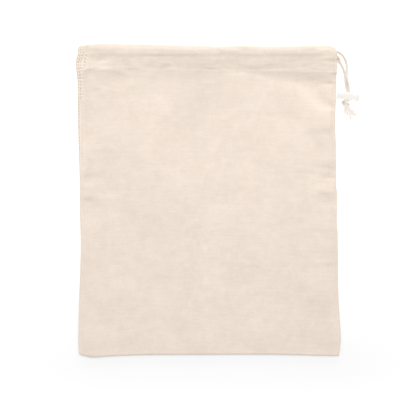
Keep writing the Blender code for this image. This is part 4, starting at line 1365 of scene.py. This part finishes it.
# %% Sew the hem and overlock the side
HEM_SEWN = (-0.1140, 0.2300)
HEM_STITCH_PITCH = 0.00300
SIDE_SEWN = (-0.1465, 0.293)
CHAIN_IN, LOOP_IN, LADDER_IN = 0.0025, 0.0013, 0.0018
LADDER_START = 0.0990
WIDE_LADDER = 0.1160
LADDER_STEPS = (0.0022, 0.0026, 0.0034)
sew_dice = random.Random(5)
stitch_places, chain_places, loop_places, ladder_places = [], [], [], []
for number in range(int(HEM_SEWN[1] / HEM_STITCH_PITCH)):
    x = HEM_SEWN[0] + number * HEM_STITCH_PITCH
    y = float(along(STITCH_LINE, x)) + sew_dice.uniform(-0.0001, 0.0001)
    stitch_places.append((x, y, sew_dice.uniform(-0.05, 0.05)))
for number in range(int(SIDE_SEWN[1] / STITCH_PITCH)):
    y = SIDE_SEWN[0] + number * STITCH_PITCH
    edge = float(along(LEFT_EDGE, y))
    if y < LADDER_START:
        chain_places.append((edge + CHAIN_IN, y, math.pi / 2 + sew_dice.uniform(-0.08, 0.08)))
        loop_places.append((edge + LOOP_IN, y + STITCH_PITCH / 2, sew_dice.uniform(-0.12, 0.12)))
        continue
    reach = sew_dice.choice(LADDER_STEPS)
    for step in range(3 if y > WIDE_LADDER else 2):
        ladder_places.append((edge + LADDER_IN + step * reach, y + sew_dice.uniform(-0.0003, 0.0003),
                              sew_dice.uniform(-0.15, 0.15)))
hem_stitches = sew("hem_stitches", "hem_stitch", 0.0025, 0.00020, stitch_places, thread)
side_chain = sew("side_chain", "chain_stitch", 0.0026, 0.00030, chain_places, white_thread)
side_loops = sew("side_loops", "loop_stitch", 0.0023, 0.00018, loop_places, thread)
side_ladder = sew("side_ladder", "ladder_stitch", 0.0024, 0.00048, ladder_places, white_thread)

# %% [markdown]
# ## Which piece goes with what
# Each piece is listed with the body that it moves with, the imported solid that it stands for and the
# finish that it takes. Each piece is attached to its body, and the solid that it stands for is hidden.
# Only the stopper's button moves: everything else stays with the bag.

# %% Ride and replace
SEWING = [hem_stitches, side_chain, side_loops, side_ladder]
FINISHES = (
    (bag, "bag", "bag_cloth", "calico"), *((piece, "bag", None, "calico") for piece in SEWING),
    (strand_upper, "bag", "drawcord", "cord"), (strand_lower, "bag", "drawcord", "cord"),
    (cord_in_hem, "bag", "drawcord", "cord"), (knot, "bag", "cord_knot", "cord"),
    (tails, "bag", "cord_knot", "cord"),
    (barrel, "bag", "stopper_barrel", "stopper_barrel"),
    (button, "button", "stopper_button", "stopper_button"),
)
for piece, body, solid, finish in FINISHES:
    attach(piece, body)
    if solid:
        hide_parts(solid)
print("pieces:", len(FINISHES))
